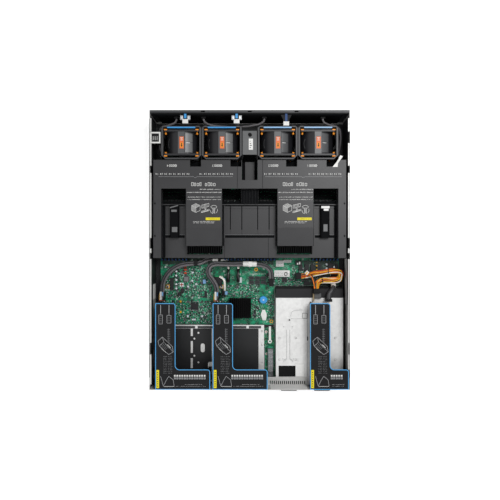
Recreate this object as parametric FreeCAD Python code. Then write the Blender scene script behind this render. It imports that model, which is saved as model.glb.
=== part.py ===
import FreeCAD, Part
import math
import os

# A two-unit, two-processor rack server with its top cover off, in millimetres.
# +X is the right-hand side seen from above with the air intake at the top of the view,
# +Y points to the intake end (the front), +Z is up.
# The origin lies on the underside of the chassis floor, in the middle of its width and depth.

V = FreeCAD.Vector
ALONG_X = V(1, 0, 0)
ALONG_Y = V(0, 1, 0)
ALONG_Z = V(0, 0, 1)
ORIGIN = V(0, 0, 0)

# Chassis sheet metal
CHASSIS_WIDTH = 445.0
CHASSIS_DEPTH = 620.0
CHASSIS_HEIGHT = 87.0
SHEET = 1.2
FLANGE_WIDTH = 4.5
FLANGE_LIP = 5.0
FLANGE_FRONT_CUT = 18.0
FLANGE_REAR_CUT = 12.0
# Slots in the top flange for the hooks of the cover: distance from the front, length
COVER_SLOTS = ((60.4, 25.5), (131.3, 16.4), (295.0, 23.3), (323.3, 13.3), (528.6, 25.5))
RAIL_HOLE_RADIUS = 2.25
RAIL_HOLE_HEIGHT = 40.0
RAIL_HOLE_SPACING = 350.0
RAIL_HOLE_FROM_FRONT = 25.0
# Clearances of what lifts or slides out: under it, and around it
SEAT_GAP = 0.2
SIDE_FIT = 0.4

# Front bulkhead and drive backplane
BULKHEAD_FLANGE = 7.0
BULKHEAD_COLUMNS = 4
BULKHEAD_NOTCH = 9.0
VENT_SIDE_MARGIN = 14.0
VENT_POST = 12.0
VENT_WEB = 4.0
VENT_ACROSS = 4
VENT_ROWS = 3
VENT_BOTTOM_MARGIN = 8.0
VENT_TOP_MARGIN = 10.0
BACKPLANE_SETBACK = 8.0
BACKPLANE_THICKNESS = 2.0
BACKPLANE_TOP_DROP = 3.0
BACKPLANE_FOOT = 5.0
BACKPLANE_SIDE_GAP = 14.0
BACKPLANE_SLOT_HEIGHT = 12.0
BACKPLANE_BOSS_RADIUS = 3.0

# Fans and their carriers
FAN_SIZE = 80.0
FAN_DEPTH = 57.0
FAN_FLANGE = 4.0
FAN_CORNER_RADIUS = 4.0
FAN_BORE_MARGIN = 2.0
FAN_BARREL_WALL = 1.3
FAN_PIN_INSET = 4.25
FAN_PIN_HOLE_RADIUS = 2.4
FAN_PAD_WIDTH = 15.6
FAN_FIT = 0.3
STATOR_RADIUS = 17.0
STATOR_DEPTH = 12.0
STATOR_SPOKES = 4
STATOR_SPOKE_WIDTH = 3.0
SHAFT_RADIUS = 2.5
SHAFT_FIT = 0.05
SHAFT_LENGTH = 9.0
HUB_RADIUS = 17.5
HUB_EDGE = 2.5
HUB_FRONT_GAP = 5.0
HUB_REAR_GAP = 1.0
BLADE_COUNT = 7
BLADE_ROOT_RADIUS = 10.5
BLADE_THICKNESS = 1.6
BLADE_TIP_GAP = 0.9
BLADE_ROOT_ANGLE = 32.0
BLADE_TIP_ANGLE = 54.0
BLADE_AXIAL_LENGTH = 28.0
CARRIER_WALL = 2.7
CARRIER_END_WALL = 3.0
CARRIER_FLOOR = 1.6
CARRIER_TOP = 0.8
CARRIER_DEPTH = 74.0
CARRIER_RIM = 1.3
CARRIER_RIM_HEIGHT = 3.0
CARRIER_GAP = 1.4
CARRIER_CORNER_WALL = 1.55
CARRIER_FRONT_CHAMFER = 5.0
CARRIER_WINDOW_MARGIN = 13.0
RELEASE_WIDTH = 62.5
RELEASE_DEPTH = 4.0
RELEASE_HEIGHT = 5.0
RELEASE_SETBACK = 1.0
RELEASE_CORNER = 1.0
RELEASE_LEG_WIDTH = 20.0
RELEASE_LEG_DEPTH = 1.5
RELEASE_LEG_HEIGHT = 11.0

# Fan cage and the bridge between the middle fans
BRIDGE_BAY = 34.0
BRIDGE_DEPTH = 53.0
BRIDGE_TOP_DROP = 5.8
BRIDGE_HOLE_RADIUS = 4.0
BRIDGE_HOLE_FROM_FRONT = 8.0
DIVIDER_TOP_GAP = 0.6
DIVIDER_SLOTS = 3
DIVIDER_SLOT_WIDTH = 8.0
DIVIDER_SLOT_MARGIN = 10.0
GROMMET_LENGTH = 25.0
GROMMET_FAN_GAP = 2.0
GROMMET_BAND = 3.2
GROMMET_CORNER = 0.8
GROMMET_HEIGHT = 4.0
GROMMET_TOP_DROP = 3.0

# Motherboard
BOARD_DEPTH = 370.0
BOARD_SIDE_GAP = 11.3
BOARD_FRONT_GAP = 5.7
BOARD_REAR_GAP = 1.5
BOARD_NOTCH_GAP = 2.0
BOARD_LIFT = 6.8
BOARD_THICKNESS = 2.0
STANDOFF_RADIUS = 3.5
BOARD_HOLE_RADIUS = 2.1
BOARD_HOLE_MARGIN = 11.0

# Processors, heatsinks and memory
CPU_OFFSET = 102.0
CPU_SETBACK = 150.0
CPU_WIDTH = 57.0
CPU_DEPTH = 77.0
CPU_HEIGHT = 6.0
BOLSTER_BAND = 8.0
BOLSTER_HEIGHT = 3.0
BOLSTER_FIT = 0.5
HEATSINK_WIDTH = 74.0
HEATSINK_DEPTH = 108.0
HEATSINK_BASE = 6.0
HEATSINK_FIN_HEIGHT = 52.0
HEATSINK_FINS = 19
FIN_THICKNESS = 1.0
SOCKETS_PER_BANK = 8
BANK_GAP = 4.0
SOCKET_WIDTH = 6.0
SOCKET_HEIGHT = 9.0
SOCKET_TOWER_HEIGHT = 20.0
SOCKET_TOWER_LENGTH = 3.8
MODULE_LENGTH = 133.4
MODULE_HEIGHT = 31.25
MODULE_THICKNESS = 1.3
MODULE_FIT = 0.2
MODULE_DEPTH_IN_SOCKET = 4.5

# Air duct
DUCT_WALL = 2.2
DUCT_TOP_DROP = 7.0
DUCT_SIDE_GAP = 7.5
DUCT_FRONT_GAP = 0.8
DUCT_FOOT_INSET = 0.5
DUCT_TAIL = 10.0
DUCT_STRIP_GAP = 1.5
DUCT_RAIL_WIDTH = 17.5
DECK_DEPTH = 64.0
DECK_WINDOW_DEPTH = 33.0
FAN_WINDOW_OFFSET = 19.0
FAN_WINDOW_WIDTH = 24.5
FAN_WINDOW_DEPTH = 15.0
PLATE_WIDTH = 80.0
PLATE_SHORT = 17.0
PLATE_CREASE = 41.0
PLATE_SLOPE = 2.5
LOWER_DECK_RISE = 8.0
LOWER_SLOT = 8.0
LOWER_SLOT_INSET = 6.0
MID_PANEL_DEPTH = 58.0
LIP_HEIGHT = 5.0
GROOVE_WIDTH = 1.6
GROOVE_DEPTH = 0.8
GROOVES_OUT = 44.0
GROOVES_IN = 18.0
POCKET_WIDTH = 34.8
POCKET_DEPTH = 45.0
POCKET_FLOOR_DROP = 33.0
POCKET_FLOOR_WIDTH = 21.5
RIB_BLOCK_WIDTH = 39.0
RIB_BLOCK_DROP = 20.0
RIB_COUNT = 6
RIB_WIDTH = 1.6
RIB_HEIGHT = 4.0
PACK_WIDTH = 20.0
PACK_LENGTH = 74.0
PACK_HEIGHT = 14.0
PACK_CORNER = 4.0

# Chipset heatsink and board parts
CHIPSET_WIDTH = 51.0
CHIPSET_DEPTH = 47.0
CHIPSET_BASE = 4.0
CHIPSET_FIN_HEIGHT = 12.0
CHIPSET_FINS = 12
CHIP_HEIGHT = 2.4
# Places on the motherboard: X from its middle, Y from its rear edge
CHIPSET_X = -22.5
CHIPSET_Y = 37.5
PLUNGER_X = 32.0
PLUNGER_Y = 57.4
PLUNGER_KNOB_RADIUS = 9.0
PLUNGER_KNOB_HEIGHT = 6.0
PLUNGER_STEM_RADIUS = 2.5
PLUNGER_STEM_FIT = 0.06
PLUNGER_BUSH_RADIUS = 6.0
PLUNGER_BUSH_HEIGHT = 7.0
PLUNGER_REACH = 5.0
# Soldered parts: place of the middle on the motherboard, then width, depth and height
CHIPSET_CHIP = (CHIPSET_X, CHIPSET_Y, 30.0, 30.0, CHIP_HEIGHT)
MANAGEMENT_CHIP = (-130.0, 42.0, 17.0, 17.0, CHIP_HEIGHT)
COIL = (-149.0, 106.0, 12.0, 12.0, 8.0)
SMALL_HEADER = (-106.0, 100.0, 8.0, 10.0, 9.0)
BATTERY_HOLDER = (-74.0, 99.0, 18.0, 18.0, 12.0)
POWER_STAGE = (-152.0, 120.0, 7.0, 4.0, 4.0)
POWER_STAGES = 3
POWER_STAGE_PITCH = 8.0
SIGNAL_PORT = (4.0, 98.0, 12.0, 8.0, 6.0)
SIGNAL_PORT_COLUMNS = 3
SIGNAL_PORT_ROWS = 2
SIGNAL_PORT_PITCH_X = 14.0
SIGNAL_PORT_PITCH_Y = 10.0
FUSE = (120.0, 133.0, 9.0, 14.0, 7.0)
FUSES = 4
FUSE_PITCH = 14.0
CAN_X = -172.0
CAN_Y = 84.0
CAN_RADIUS = 3.0
CAN_HEIGHT = 9.0
CANS = 5
CAN_PITCH = 10.0
# Regulator rows ahead of the memory: middles of the columns, then a row's size and spacing
REGULATOR_COLUMNS = (-140.0, 0.0, 140.0)
REGULATOR_ROWS = 3
REGULATOR_GAP = 6.0
REGULATOR_PITCH = 8.0
REGULATOR_WIDTH = 44.0
REGULATOR_DEPTH = 4.0
REGULATOR_HEIGHT = 6.0

# Input and output shelf with the mezzanine network card
SHELF_DEPTH = 134.5
SHELF_HEIGHT = 20.0
SHELF_SIDE_GAP = 7.0
SHELF_TO_PSU = 26.5
INSULATOR = 0.6
INSULATOR_FRONT = 8.5
INSULATOR_MARGIN = 4.0
INSULATOR_SLOT_WIDTH = 5.0
INSULATOR_SLOT_X = 74.0
# Distance of each slot from the sheet's front edge, and its length
INSULATOR_SLOTS = ((0.0, 17.5), (29.0, 28.0), (68.9, 23.4))
# Holes and window of the sheet: right of the slots, behind the front edge
INSULATOR_HOLES = ((15.5, 9.9), (6.0, 23.5), (6.0, 63.5), (15.5, 79.0))
INSULATOR_HOLE_RADIUS = 2.2
INSULATOR_WINDOW_X = 20.8
INSULATOR_WINDOW_Y = 34.8
INSULATOR_WINDOW_WIDTH = 9.6
INSULATOR_WINDOW_DEPTH = 20.6
INSULATOR_WINDOW_CORNER = 4.5
STRIP_WIDTH = 13.0
CARD_WIDTH = 66.0
CARD_LIFT = 6.2
CARD_THICKNESS = 1.6
CARD_SIDE_GAP = 1.0
CARD_TONGUE_WIDTH = 55.0
CARD_TONGUE_LENGTH = 6.0
CARD_SLOT_FIT = 0.3
CARD_SOCKET_DEPTH = 8.0
CARD_SOCKET_BAND = 3.0
CARD_PLATE_LIFT = 0.3
CAGE_PORT_WIDTH = 14.4
CAGE_PORT_HEIGHT = 9.4
CAGE_PORT_WALL = 0.9
CAGE_PORT_LENGTH = 84.0
CAGE_PORT_PITCH = 20.0
CAGE_PORT_MARGIN = 3.0
LEVER_LENGTH = 35.0
LEVER_WIDTH = 5.0
LEVER_HEIGHT = 3.2
LEVER_EYE_RADIUS = 4.5
LEVER_SHOULDER_RADIUS = 3.5
LEVER_PIN_RADIUS = 2.0
LEVER_PIN_FIT = 0.05
LEVER_FROM_CARD_FRONT = 31.0
LEVER_FROM_CARD_SIDE = 12.0

# Power supplies, their cage and the power board
PSU_WIDTH = 73.5
PSU_HEIGHT = 40.0
PSU_DEPTH = 185.0
PSU_FIT = 0.9
PSU_FLOOR_GAP = 0.3
PSU_TOP_GAP = 1.1
PSU_WALL_GAP = 7.0
PSU_TONGUE_WIDTH = 40.0
PSU_TONGUE_LENGTH = 11.0
PSU_TONGUE_THICKNESS = 1.6
PSU_TONGUE_HEIGHT = 18.0
PSU_GRILLE_SLOTS = 7
PSU_GRILLE_SLOT_WIDTH = 3.0
PSU_GRILLE_PITCH = 5.0
PSU_GRILLE_HEIGHT = 19.0
PSU_GRILLE_DEPTH = 3.0
INLET_WIDTH = 24.5
INLET_HEIGHT = 16.5
INLET_DEPTH = 16.0
INLET_MARGIN = 4.0
HANDLE_WIDTH = 40.0
HANDLE_REACH = 15.0
HANDLE_BAR = 5.0
HANDLE_HEIGHT = 9.0
HANDLE_BOTTOM = 27.0
HANDLE_MARGIN = 8.0
HANDLE_CORNER = 4.0
LATCH_WIDTH = 8.0
LATCH_HEIGHT = 7.4
LATCH_REACH = 10.0
LATCH_POCKET_DEPTH = 6.0
LATCH_TRAVEL = 3.0
LATCH_FIT = 0.3
LATCH_MARGIN = 6.0
POWER_SOCKET_DEPTH = 15.0
POWER_SOCKET_BAND = 5.0
POWER_COVER_DEPTH = 24.0
POWER_COVER_CHAMFER = 3.0
PSU_WINDOW_DEPTH = 25.0
PSU_WINDOW_WIDTH = 39.0
PSU_WINDOW_REAR = 18.0
EMBOSS_HEIGHT = 0.6
EMBOSS_LENGTH = 41.0
EMBOSS_WIDTH = 18.0
EMBOSS_FROM_FRONT = 30.0
EMBOSS_FROM_SIDE = 34.0
EMBOSS_CORNER = 6.0
BEAD_LENGTH = 66.0
BEAD_WIDTH = 2.2
BEAD_SPACING = 7.2
BEAD_FROM_FRONT = 71.0
BEAD_FROM_SIDE = 24.0
PANEL_HOLE_RADIUS = 2.2

# Rear panel and ports
LEDGE_DEPTH = 19.0
LEDGE_SLOTS = 18
LEDGE_SLOT_LENGTH = 8.0
LEDGE_SLOT_WIDTH = 2.4
LEDGE_SLOT_MARGIN = 4.0
PANEL_VENT_SLOTS = 8
PANEL_VENT_WIDTH = 8.0
PANEL_VENT_HEIGHT = 9.0
PORT_BOARD_LIFT = 2.0
PORT_BOARD_THICKNESS = 1.6
PORT_BOARD_DEPTH = 36.0
PORT_DEPTH = 20.0
PORT_WALL = 1.0
PORT_FIT = 0.3
PORT_FIRST = 3.0
PORT_SPACING = 4.0
# Width and height of each port's shell, from the left: video, stacked pair, network
PORT_SHELLS = ((31.0, 11.0), (15.0, 13.6), (16.0, 13.6))

# Riser modules
RISER_SIDE_GAP = 11.7
RISER_GAP = 5.6
RISER_TO_PSU = 20.5
RISER_DEPTH = 192.0
RISER_LEG_WIDTH = 45.0
RISER_FOOT_DEPTH = 45.0
RISER_TOP_DROP = 1.8
RISER_CORNER = 6.0
RISER_INNER_CORNER = 9.0
LOW_RISER_WIDTH = 86.0
LOW_RISER_WALL_GAP = 1.4
FULL_RISER_SLOTS = 3
LOW_RISER_SLOTS = 2
SLOT_OPENING_HEIGHT = 12.0
SLOT_OPENING_MARGIN = 9.0
BLANK_OVERLAP = 2.5
BLANK_THICKNESS = 0.9
RISER_BOARD_THICKNESS = 1.6
RISER_WALL_INSET = 4.5
RISER_STUD_LENGTH = 1.5
RISER_STUD_RADIUS = 3.0
RISER_BOARD_MARGIN = 3.0
RISER_BOARD_REAR_GAP = 25.0
SLOT_LENGTH = 89.0
SLOT_WIDTH = 7.4
SLOT_HEIGHT = 11.0
SLOT_GROOVE = 1.8
SLOT_GROOVE_DEPTH = 8.0
SLOT_FROM_REAR = 18.0

# Cables
SLEEVE_RADIUS = 4.0
LEAD_RADIUS = 2.5
HARNESS_RADIUS = 4.5
THICK_SLEEVE_RADIUS = 5.5
CLIP_WALL = 2.0
CLIP_LENGTH = 8.0
CLIP_FIT = 0.6
PLUG_HALF = 5.0
PLUG_RISE = 6.0
SHORT_PLUG = 11.0
LONG_PLUG = 17.0
POWER_PLUG_HALF = 7.0
HEADER_WIDTH = 16.0
HEADER_DEPTH = 8.0
HEADER_EAR = 4.0
RIBBON_WIDTH = 7.0
RIBBON_THICKNESS = 0.9
# Routes of the cables from plug to plug: X from the middle, Y from the rear panel, Z from the underside
RISER_1_ROUTE = ((-203, 212, 31), (-203, 230, 31), (-195, 250, 31), (-180, 266, 31), (-160, 276, 31),
                 (-136, 279, 31), (-113, 280, 31), (-99, 290, 28), (-84, 290, 28))
RISER_2_ROUTE = ((-76, 212, 39), (-76, 225, 39), (-86, 241, 39), (-97, 255, 39), (-95, 271, 39),
                 (-82, 279, 39), (-52, 277, 39), (-12, 278, 39), (14, 277.5, 39), (36, 274, 39),
                 (47, 265, 39), (50, 254, 39), (50, 244, 39))
FRONT_LEFT_ROUTE = ((-165, 606, 64), (-165, 598, 64), (-182, 592, 61), (-203, 590, 54), (-209, 574, 45),
                    (-209, 550, 34), (-206, 528, 22), (-203, 518, 18), (-203, 507, 18))
FRONT_JUMPER_ROUTE = ((-104, 606, 64), (-104, 598, 64), (-84, 591, 60), (-45, 589, 57), (-5, 590, 57),
                      (33, 596, 64), (33, 606, 64))
THICK_SLEEVE_ROUTE = ((193, 231, 30), (193, 231, 39.5), (191.5, 225.5, 50.5), (186.5, 218, 58),
                      (179, 210, 60), (179, 199, 60))
HARNESS_ROUTE = ((118, 250, 41), (127, 250, 41), (141, 257, 43), (161, 260, 45), (185, 261.5, 46),
                 (203, 261, 46), (209, 255, 46), (209, 247, 46), (203, 241, 47), (184, 240, 48),
                 (164, 243, 50), (152, 234.5, 52), (152, 222, 52))
LEAD_ROUTE = ((0, 272, 22), (0, 267, 22), (1.5, 262, 24), (0, 257, 22), (0, 252, 22))
LEAD_X = (-50.0, -27.0)
HEADER_X = (-143.0, -29.0, 81.0)

# Reference planes
left = -CHASSIS_WIDTH / 2
right = CHASSIS_WIDTH / 2
front = CHASSIS_DEPTH / 2
rear = -CHASSIS_DEPTH / 2
rim = CHASSIS_HEIGHT
floor = SHEET
inner_left = left + SHEET
inner_right = right - SHEET

# Power supply zone, from the right-hand wall inwards
psu_cage_right = inner_right - PSU_WALL_GAP
psu_bay = PSU_WIDTH + 2 * PSU_FIT
psu_cage_left = psu_cage_right - 2 * psu_bay - 3 * SHEET
psu_lefts = (psu_cage_left + SHEET + PSU_FIT, psu_cage_left + 2 * SHEET + psu_bay + PSU_FIT)
psu_bottom = floor + PSU_FLOOR_GAP
psu_top = psu_bottom + PSU_HEIGHT
psu_cage_under = psu_top + PSU_TOP_GAP
psu_cage_top = psu_cage_under + SHEET
psu_inner_end = rear + PSU_DEPTH
power_board_rear = psu_inner_end + POWER_SOCKET_DEPTH
power_board_front = power_board_rear + POWER_COVER_DEPTH

# Motherboard and shelf
shelf_front = rear + SHELF_DEPTH
shelf_top = SHELF_HEIGHT
shelf_left = inner_left + SHELF_SIDE_GAP
shelf_right = psu_cage_left - SHELF_TO_PSU
board_left = inner_left + BOARD_SIDE_GAP
board_right = inner_right - BOARD_SIDE_GAP
board_rear = shelf_front + BOARD_REAR_GAP
board_front = board_rear + BOARD_DEPTH
board_under = floor + BOARD_LIFT
board_top = board_under + BOARD_THICKNESS
notch_x = psu_cage_left - BOARD_NOTCH_GAP
notch_y = power_board_front + BOARD_NOTCH_GAP

# Fan layout, ahead of the motherboard
carrier_width = FAN_SIZE + 2 * (FAN_FIT + CARRIER_WALL)
rim_width = carrier_width + 2 * CARRIER_RIM
fan_pitch = rim_width + CARRIER_GAP
fan_centres = [side * (BRIDGE_BAY / 2 + step * fan_pitch)
               for side, step in ((-1, 1.5), (-1, 0.5), (1, 0.5), (1, 1.5))]
cage_top = floor + SHEET
carrier_bottom = cage_top + SEAT_GAP
fan_bottom = carrier_bottom + CARRIER_FLOOR
fan_axis_z = fan_bottom + FAN_SIZE / 2
carrier_top = fan_bottom + FAN_SIZE + CARRIER_TOP
carrier_rear = board_front + BOARD_FRONT_GAP
carrier_front = carrier_rear + CARRIER_DEPTH
fan_y = carrier_rear + CARRIER_DEPTH / 2
fan_bore = FAN_SIZE / 2 - FAN_BORE_MARGIN
blade_reach = fan_bore - BLADE_TIP_GAP
pocket_end = CARRIER_DEPTH / 2 - CARRIER_END_WALL
pocket_corner = pocket_end - FAN_DEPTH / 2
rear_chamfer = pocket_corner + CARRIER_WALL + CARRIER_END_WALL - CARRIER_CORNER_WALL * math.sqrt(2)

# Processors and duct
cpu_y = board_front - CPU_SETBACK
heatsink_rear = cpu_y - HEATSINK_DEPTH / 2
duct_top = rim - DUCT_TOP_DROP
duct_under = duct_top - DUCT_WALL
duct_half = CHASSIS_WIDTH / 2 - DUCT_SIDE_GAP
duct_front = carrier_rear - DUCT_FRONT_GAP
duct_rear = heatsink_rear - DUCT_TAIL
deck_rear = duct_front - DECK_DEPTH
rail_inside = duct_half - DUCT_RAIL_WIDTH
duct_foot_outside = board_right - DUCT_FOOT_INSET
duct_foot_inside = duct_foot_outside - DUCT_WALL
module_bottom = board_top + SOCKET_HEIGHT - MODULE_DEPTH_IN_SOCKET
module_top = module_bottom + MODULE_HEIGHT
lower_top = module_top + LOWER_DECK_RISE + DUCT_WALL
lower_under = lower_top - DUCT_WALL
mid_front = deck_rear - DECK_WINDOW_DEPTH
mid_panel_front = mid_front - DUCT_WALL - LOWER_SLOT
mid_panel_rear = mid_panel_front - MID_PANEL_DEPTH
plate_rear = heatsink_rear + PLATE_SHORT
crease_y = plate_rear + PLATE_CREASE
socket_length = MODULE_LENGTH + 2 * (MODULE_FIT + SOCKET_TOWER_LENGTH)

# Risers
riser_front = rear + RISER_DEPTH
riser_top = rim - RISER_TOP_DROP
full_riser_left = inner_left + RISER_SIDE_GAP
full_riser_right = psu_cage_left - RISER_TO_PSU
full_riser_width = (full_riser_right - full_riser_left - RISER_GAP) / 2
low_riser_right = right - LOW_RISER_WALL_GAP - SHEET
low_riser_left = low_riser_right - LOW_RISER_WIDTH
full_riser_bottom = shelf_top + INSULATOR + SEAT_GAP
low_riser_bottom = psu_cage_top + SHEET + SEAT_GAP
# Name, left edge, right edge, underside and number of slots of each riser
RISERS = (
    ("riser_1", full_riser_left, full_riser_left + full_riser_width, full_riser_bottom, FULL_RISER_SLOTS),
    ("riser_2", full_riser_right - full_riser_width, full_riser_right, full_riser_bottom, FULL_RISER_SLOTS),
    ("riser_3", low_riser_left, low_riser_right, low_riser_bottom, LOW_RISER_SLOTS),
)


def box(x0, x1, y0, y1, z0, z1):
    """Block between two corners."""
    return Part.makeBox(x1 - x0, y1 - y0, z1 - z0, V(x0, y0, z0))


def rod(start, direction, length, radius):
    """Round bar from a point along a direction."""
    return Part.makeCylinder(radius, length, start, direction)


def fused(shapes):
    """One solid from pieces that touch or overlap."""
    return shapes[0].multiFuse(shapes[1:]).removeSplitter()


def prism(points, direction):
    """Straight extrusion of a closed outline given by its corners."""
    outline = Part.makePolygon(points + [points[0]])
    return Part.Face(outline).extrude(direction)


def rounded(shape, radius, picks):
    """Fillet of the edges that a test on their middle point picks."""
    edges = [edge for edge in shape.Edges if picks(edge)]
    return shape.makeFillet(radius, edges)


def runs_along(edge, direction):
    """True for a straight edge along a direction."""
    span = edge.Vertexes[-1].Point - edge.Vertexes[0].Point
    return span.Length > 0 and abs(abs(span.normalize() * direction) - 1) < 1e-6


def turned(shape, angle, axis):
    """Copy of a shape turned about an axis through the origin."""
    copy = shape.copy()
    copy.rotate(ORIGIN, axis, angle)
    return copy


def moved(shape, x, y, z):
    """Copy of a shape moved to a place."""
    copy = shape.copy()
    copy.translate(V(x, y, z))
    return copy


def spread(count, start, end):
    """Middles of a number of equal spans between two places."""
    step = (end - start) / count
    return [start + (index + 0.5) * step for index in range(count)]


def save(name, shape):
    """Write one node."""
    shape.exportStep("parts/" + name + ".step")


def standoff_places():
    """Where the motherboard is screwed down."""
    margin = BOARD_HOLE_MARGIN
    columns = (board_left + margin, 0, board_right - margin)
    front_row = [(x, board_front - margin) for x in columns]
    middle_row = [(x, duct_rear - 2 * margin) for x in columns]
    rear_row = [(board_left + margin, board_rear + margin), (notch_x - margin, board_rear + margin)]
    return front_row + middle_row + rear_row


def chassis_tray():
    """Floor and side walls folded from one sheet, with slotted flanges and pressed standoffs."""
    lip_x = right - FLANGE_WIDTH
    lip_z = rim - SHEET - FLANGE_LIP
    half = [(right, 0), (right, rim), (lip_x, rim), (lip_x, lip_z), (lip_x + SHEET, lip_z),
            (lip_x + SHEET, rim - SHEET), (inner_right, rim - SHEET), (inner_right, floor)]
    outline = half + [(-x, z) for x, z in reversed(half)]
    tray = prism([V(x, rear, z) for x, z in outline], V(0, CHASSIS_DEPTH, 0))
    cuts = []
    for side in (-1, 1):
        inside = side * (lip_x - 1)
        outside = side * inner_right
        low, high = sorted((inside, outside))
        spans = [(front - place - length / 2, front - place + length / 2) for place, length in COVER_SLOTS]
        spans.append((front - FLANGE_FRONT_CUT, front))
        rear_cut = RISER_FOOT_DEPTH + SIDE_FIT if side > 0 else FLANGE_REAR_CUT
        spans.append((rear, rear + rear_cut))
        cuts += [box(low, high, y0, y1, lip_z - 1, rim + 1) for y0, y1 in spans]
        wall = min(side * right, side * inner_right)
        for place in (0, RAIL_HOLE_SPACING):
            start = V(wall - 1, front - RAIL_HOLE_FROM_FRONT - place, RAIL_HOLE_HEIGHT)
            cuts.append(rod(start, ALONG_X, SHEET + 2, RAIL_HOLE_RADIUS))
    posts = [rod(V(x, y, floor), ALONG_Z, BOARD_LIFT, STANDOFF_RADIUS) for x, y in standoff_places()]
    return fused([tray.cut(Part.makeCompound(cuts))] + posts)


def vent_columns():
    """Left and right edge of each column of the intake vents."""
    span = (inner_right - inner_left - 2 * VENT_SIDE_MARGIN) / BULKHEAD_COLUMNS
    lefts = [inner_left + VENT_SIDE_MARGIN + index * span for index in range(BULKHEAD_COLUMNS)]
    return [(x + VENT_POST / 2, x + span - VENT_POST / 2) for x in lefts]


def backplane_bosses():
    """Places of the bosses between the bulkhead and the backplane."""
    inset = BACKPLANE_SIDE_GAP + VENT_POST / 2
    posts = [inner_left + inset, inner_right - inset]
    z_middle = (floor + BACKPLANE_FOOT + rim - BACKPLANE_TOP_DROP) / 2
    columns = vent_columns()
    posts.append((columns[1][1] + columns[2][0]) / 2)
    return [(x, z_middle) for x in posts]


def front_bulkhead():
    """Perforated sheet across the intake end, with a notched flange along its top."""
    sheet = box(inner_left, inner_right, front - SHEET, front, floor, rim)
    flange = box(inner_left, inner_right, front - BULKHEAD_FLANGE, front - SHEET, rim - SHEET, rim)
    cuts = []
    columns = vent_columns()
    for (x0, x1), (next_x0, next_x1) in zip(columns, columns[1:]):
        middle = (x1 + next_x0) / 2
        cuts.append(box(middle - BULKHEAD_NOTCH / 2, middle + BULKHEAD_NOTCH / 2,
                        front - BULKHEAD_FLANGE, front - SHEET, rim - SHEET, rim))
    low = floor + VENT_BOTTOM_MARGIN
    high = rim - VENT_TOP_MARGIN
    hole_height = (high - low + VENT_WEB) / VENT_ROWS - VENT_WEB
    for x0, x1 in columns:
        hole_width = (x1 - x0 + VENT_WEB) / VENT_ACROSS - VENT_WEB
        for column in range(VENT_ACROSS):
            for row in range(VENT_ROWS):
                x = x0 + column * (hole_width + VENT_WEB)
                z = low + row * (hole_height + VENT_WEB)
                cuts.append(box(x, x + hole_width, front - SHEET, front, z, z + hole_height))
    length = BACKPLANE_SETBACK - SHEET
    bosses = [rod(V(x, front - BACKPLANE_SETBACK, z), ALONG_Y, length, BACKPLANE_BOSS_RADIUS)
              for x, z in backplane_bosses()]
    return fused([fused([sheet, flange]).cut(Part.makeCompound(cuts))] + bosses)


def drive_backplane():
    """Circuit board behind the bulkhead, open where the air passes."""
    face = front - BACKPLANE_SETBACK
    low = floor + BACKPLANE_FOOT
    high = rim - BACKPLANE_TOP_DROP
    board = box(inner_left + BACKPLANE_SIDE_GAP, inner_right - BACKPLANE_SIDE_GAP,
                face - BACKPLANE_THICKNESS, face, low, high)
    quarter = (high - low) / 4
    cuts = []
    for x0, x1 in vent_columns():
        for z in (low + quarter, high - quarter):
            cuts.append(box(x0 + VENT_POST, x1 - VENT_POST, face - BACKPLANE_THICKNESS, face,
                            z - BACKPLANE_SLOT_HEIGHT / 2, z + BACKPLANE_SLOT_HEIGHT / 2))
    return board.cut(Part.makeCompound(cuts))


def fan_cage():
    """Sheet-metal floor with dividers between the fan bays."""
    bays = [BRIDGE_BAY / 2 + step * fan_pitch for step in (0, 1, 2)]
    lines = [side * x for side in (-1, 1) for x in bays]
    y0 = carrier_rear
    y1 = carrier_front
    top = carrier_top - CARRIER_RIM_HEIGHT - DIVIDER_TOP_GAP
    pieces = [box(min(lines) - SHEET / 2, max(lines) + SHEET / 2, y0, y1, floor, cage_top)]
    for x in lines:
        plate = box(x - SHEET / 2, x + SHEET / 2, y0, y1, floor, top)
        slots = [box(x - SHEET, x + SHEET, y - DIVIDER_SLOT_WIDTH / 2, y + DIVIDER_SLOT_WIDTH / 2,
                     cage_top + DIVIDER_SLOT_MARGIN, top - DIVIDER_SLOT_MARGIN)
                 for y in spread(DIVIDER_SLOTS, y0, y1)]
        pieces.append(plate.cut(Part.makeCompound(slots)))
    return fused(pieces)


def fan_bridge():
    """Channel bracket standing in the bay between the middle fans."""
    half = BRIDGE_BAY / 2 - SHEET / 2 - SIDE_FIT
    top = rim - BRIDGE_TOP_DROP
    y0 = fan_y - BRIDGE_DEPTH / 2
    profile = [(-half, cage_top), (-half, top), (half, top), (half, cage_top), (half - SHEET, cage_top),
               (half - SHEET, top - SHEET), (-half + SHEET, top - SHEET), (-half + SHEET, cage_top)]
    channel = prism([V(x, y0, z) for x, z in profile], V(0, BRIDGE_DEPTH, 0))
    hole = V(0, y0 + BRIDGE_DEPTH - BRIDGE_HOLE_FROM_FRONT, top - SHEET)
    return channel.cut(rod(hole, ALONG_Z, SHEET, BRIDGE_HOLE_RADIUS))


def cable_grommet():
    """Plastic ring clipped to the left wall under the first cover slot."""
    y = front - COVER_SLOTS[0][0]
    half = GROMMET_LENGTH / 2
    inside = half - GROMMET_BAND
    end = min(fan_centres) - rim_width / 2 - GROMMET_FAN_GAP
    top = rim - GROMMET_TOP_DROP
    ring = box(inner_left, end, y - half, y + half, top - GROMMET_HEIGHT, top)
    hole = box(inner_left + GROMMET_BAND, end - GROMMET_BAND, y - inside, y + inside,
               top - GROMMET_HEIGHT, top)
    return rounded(ring.cut(hole), GROMMET_CORNER, lambda edge: runs_along(edge, ALONG_Z))


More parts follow.
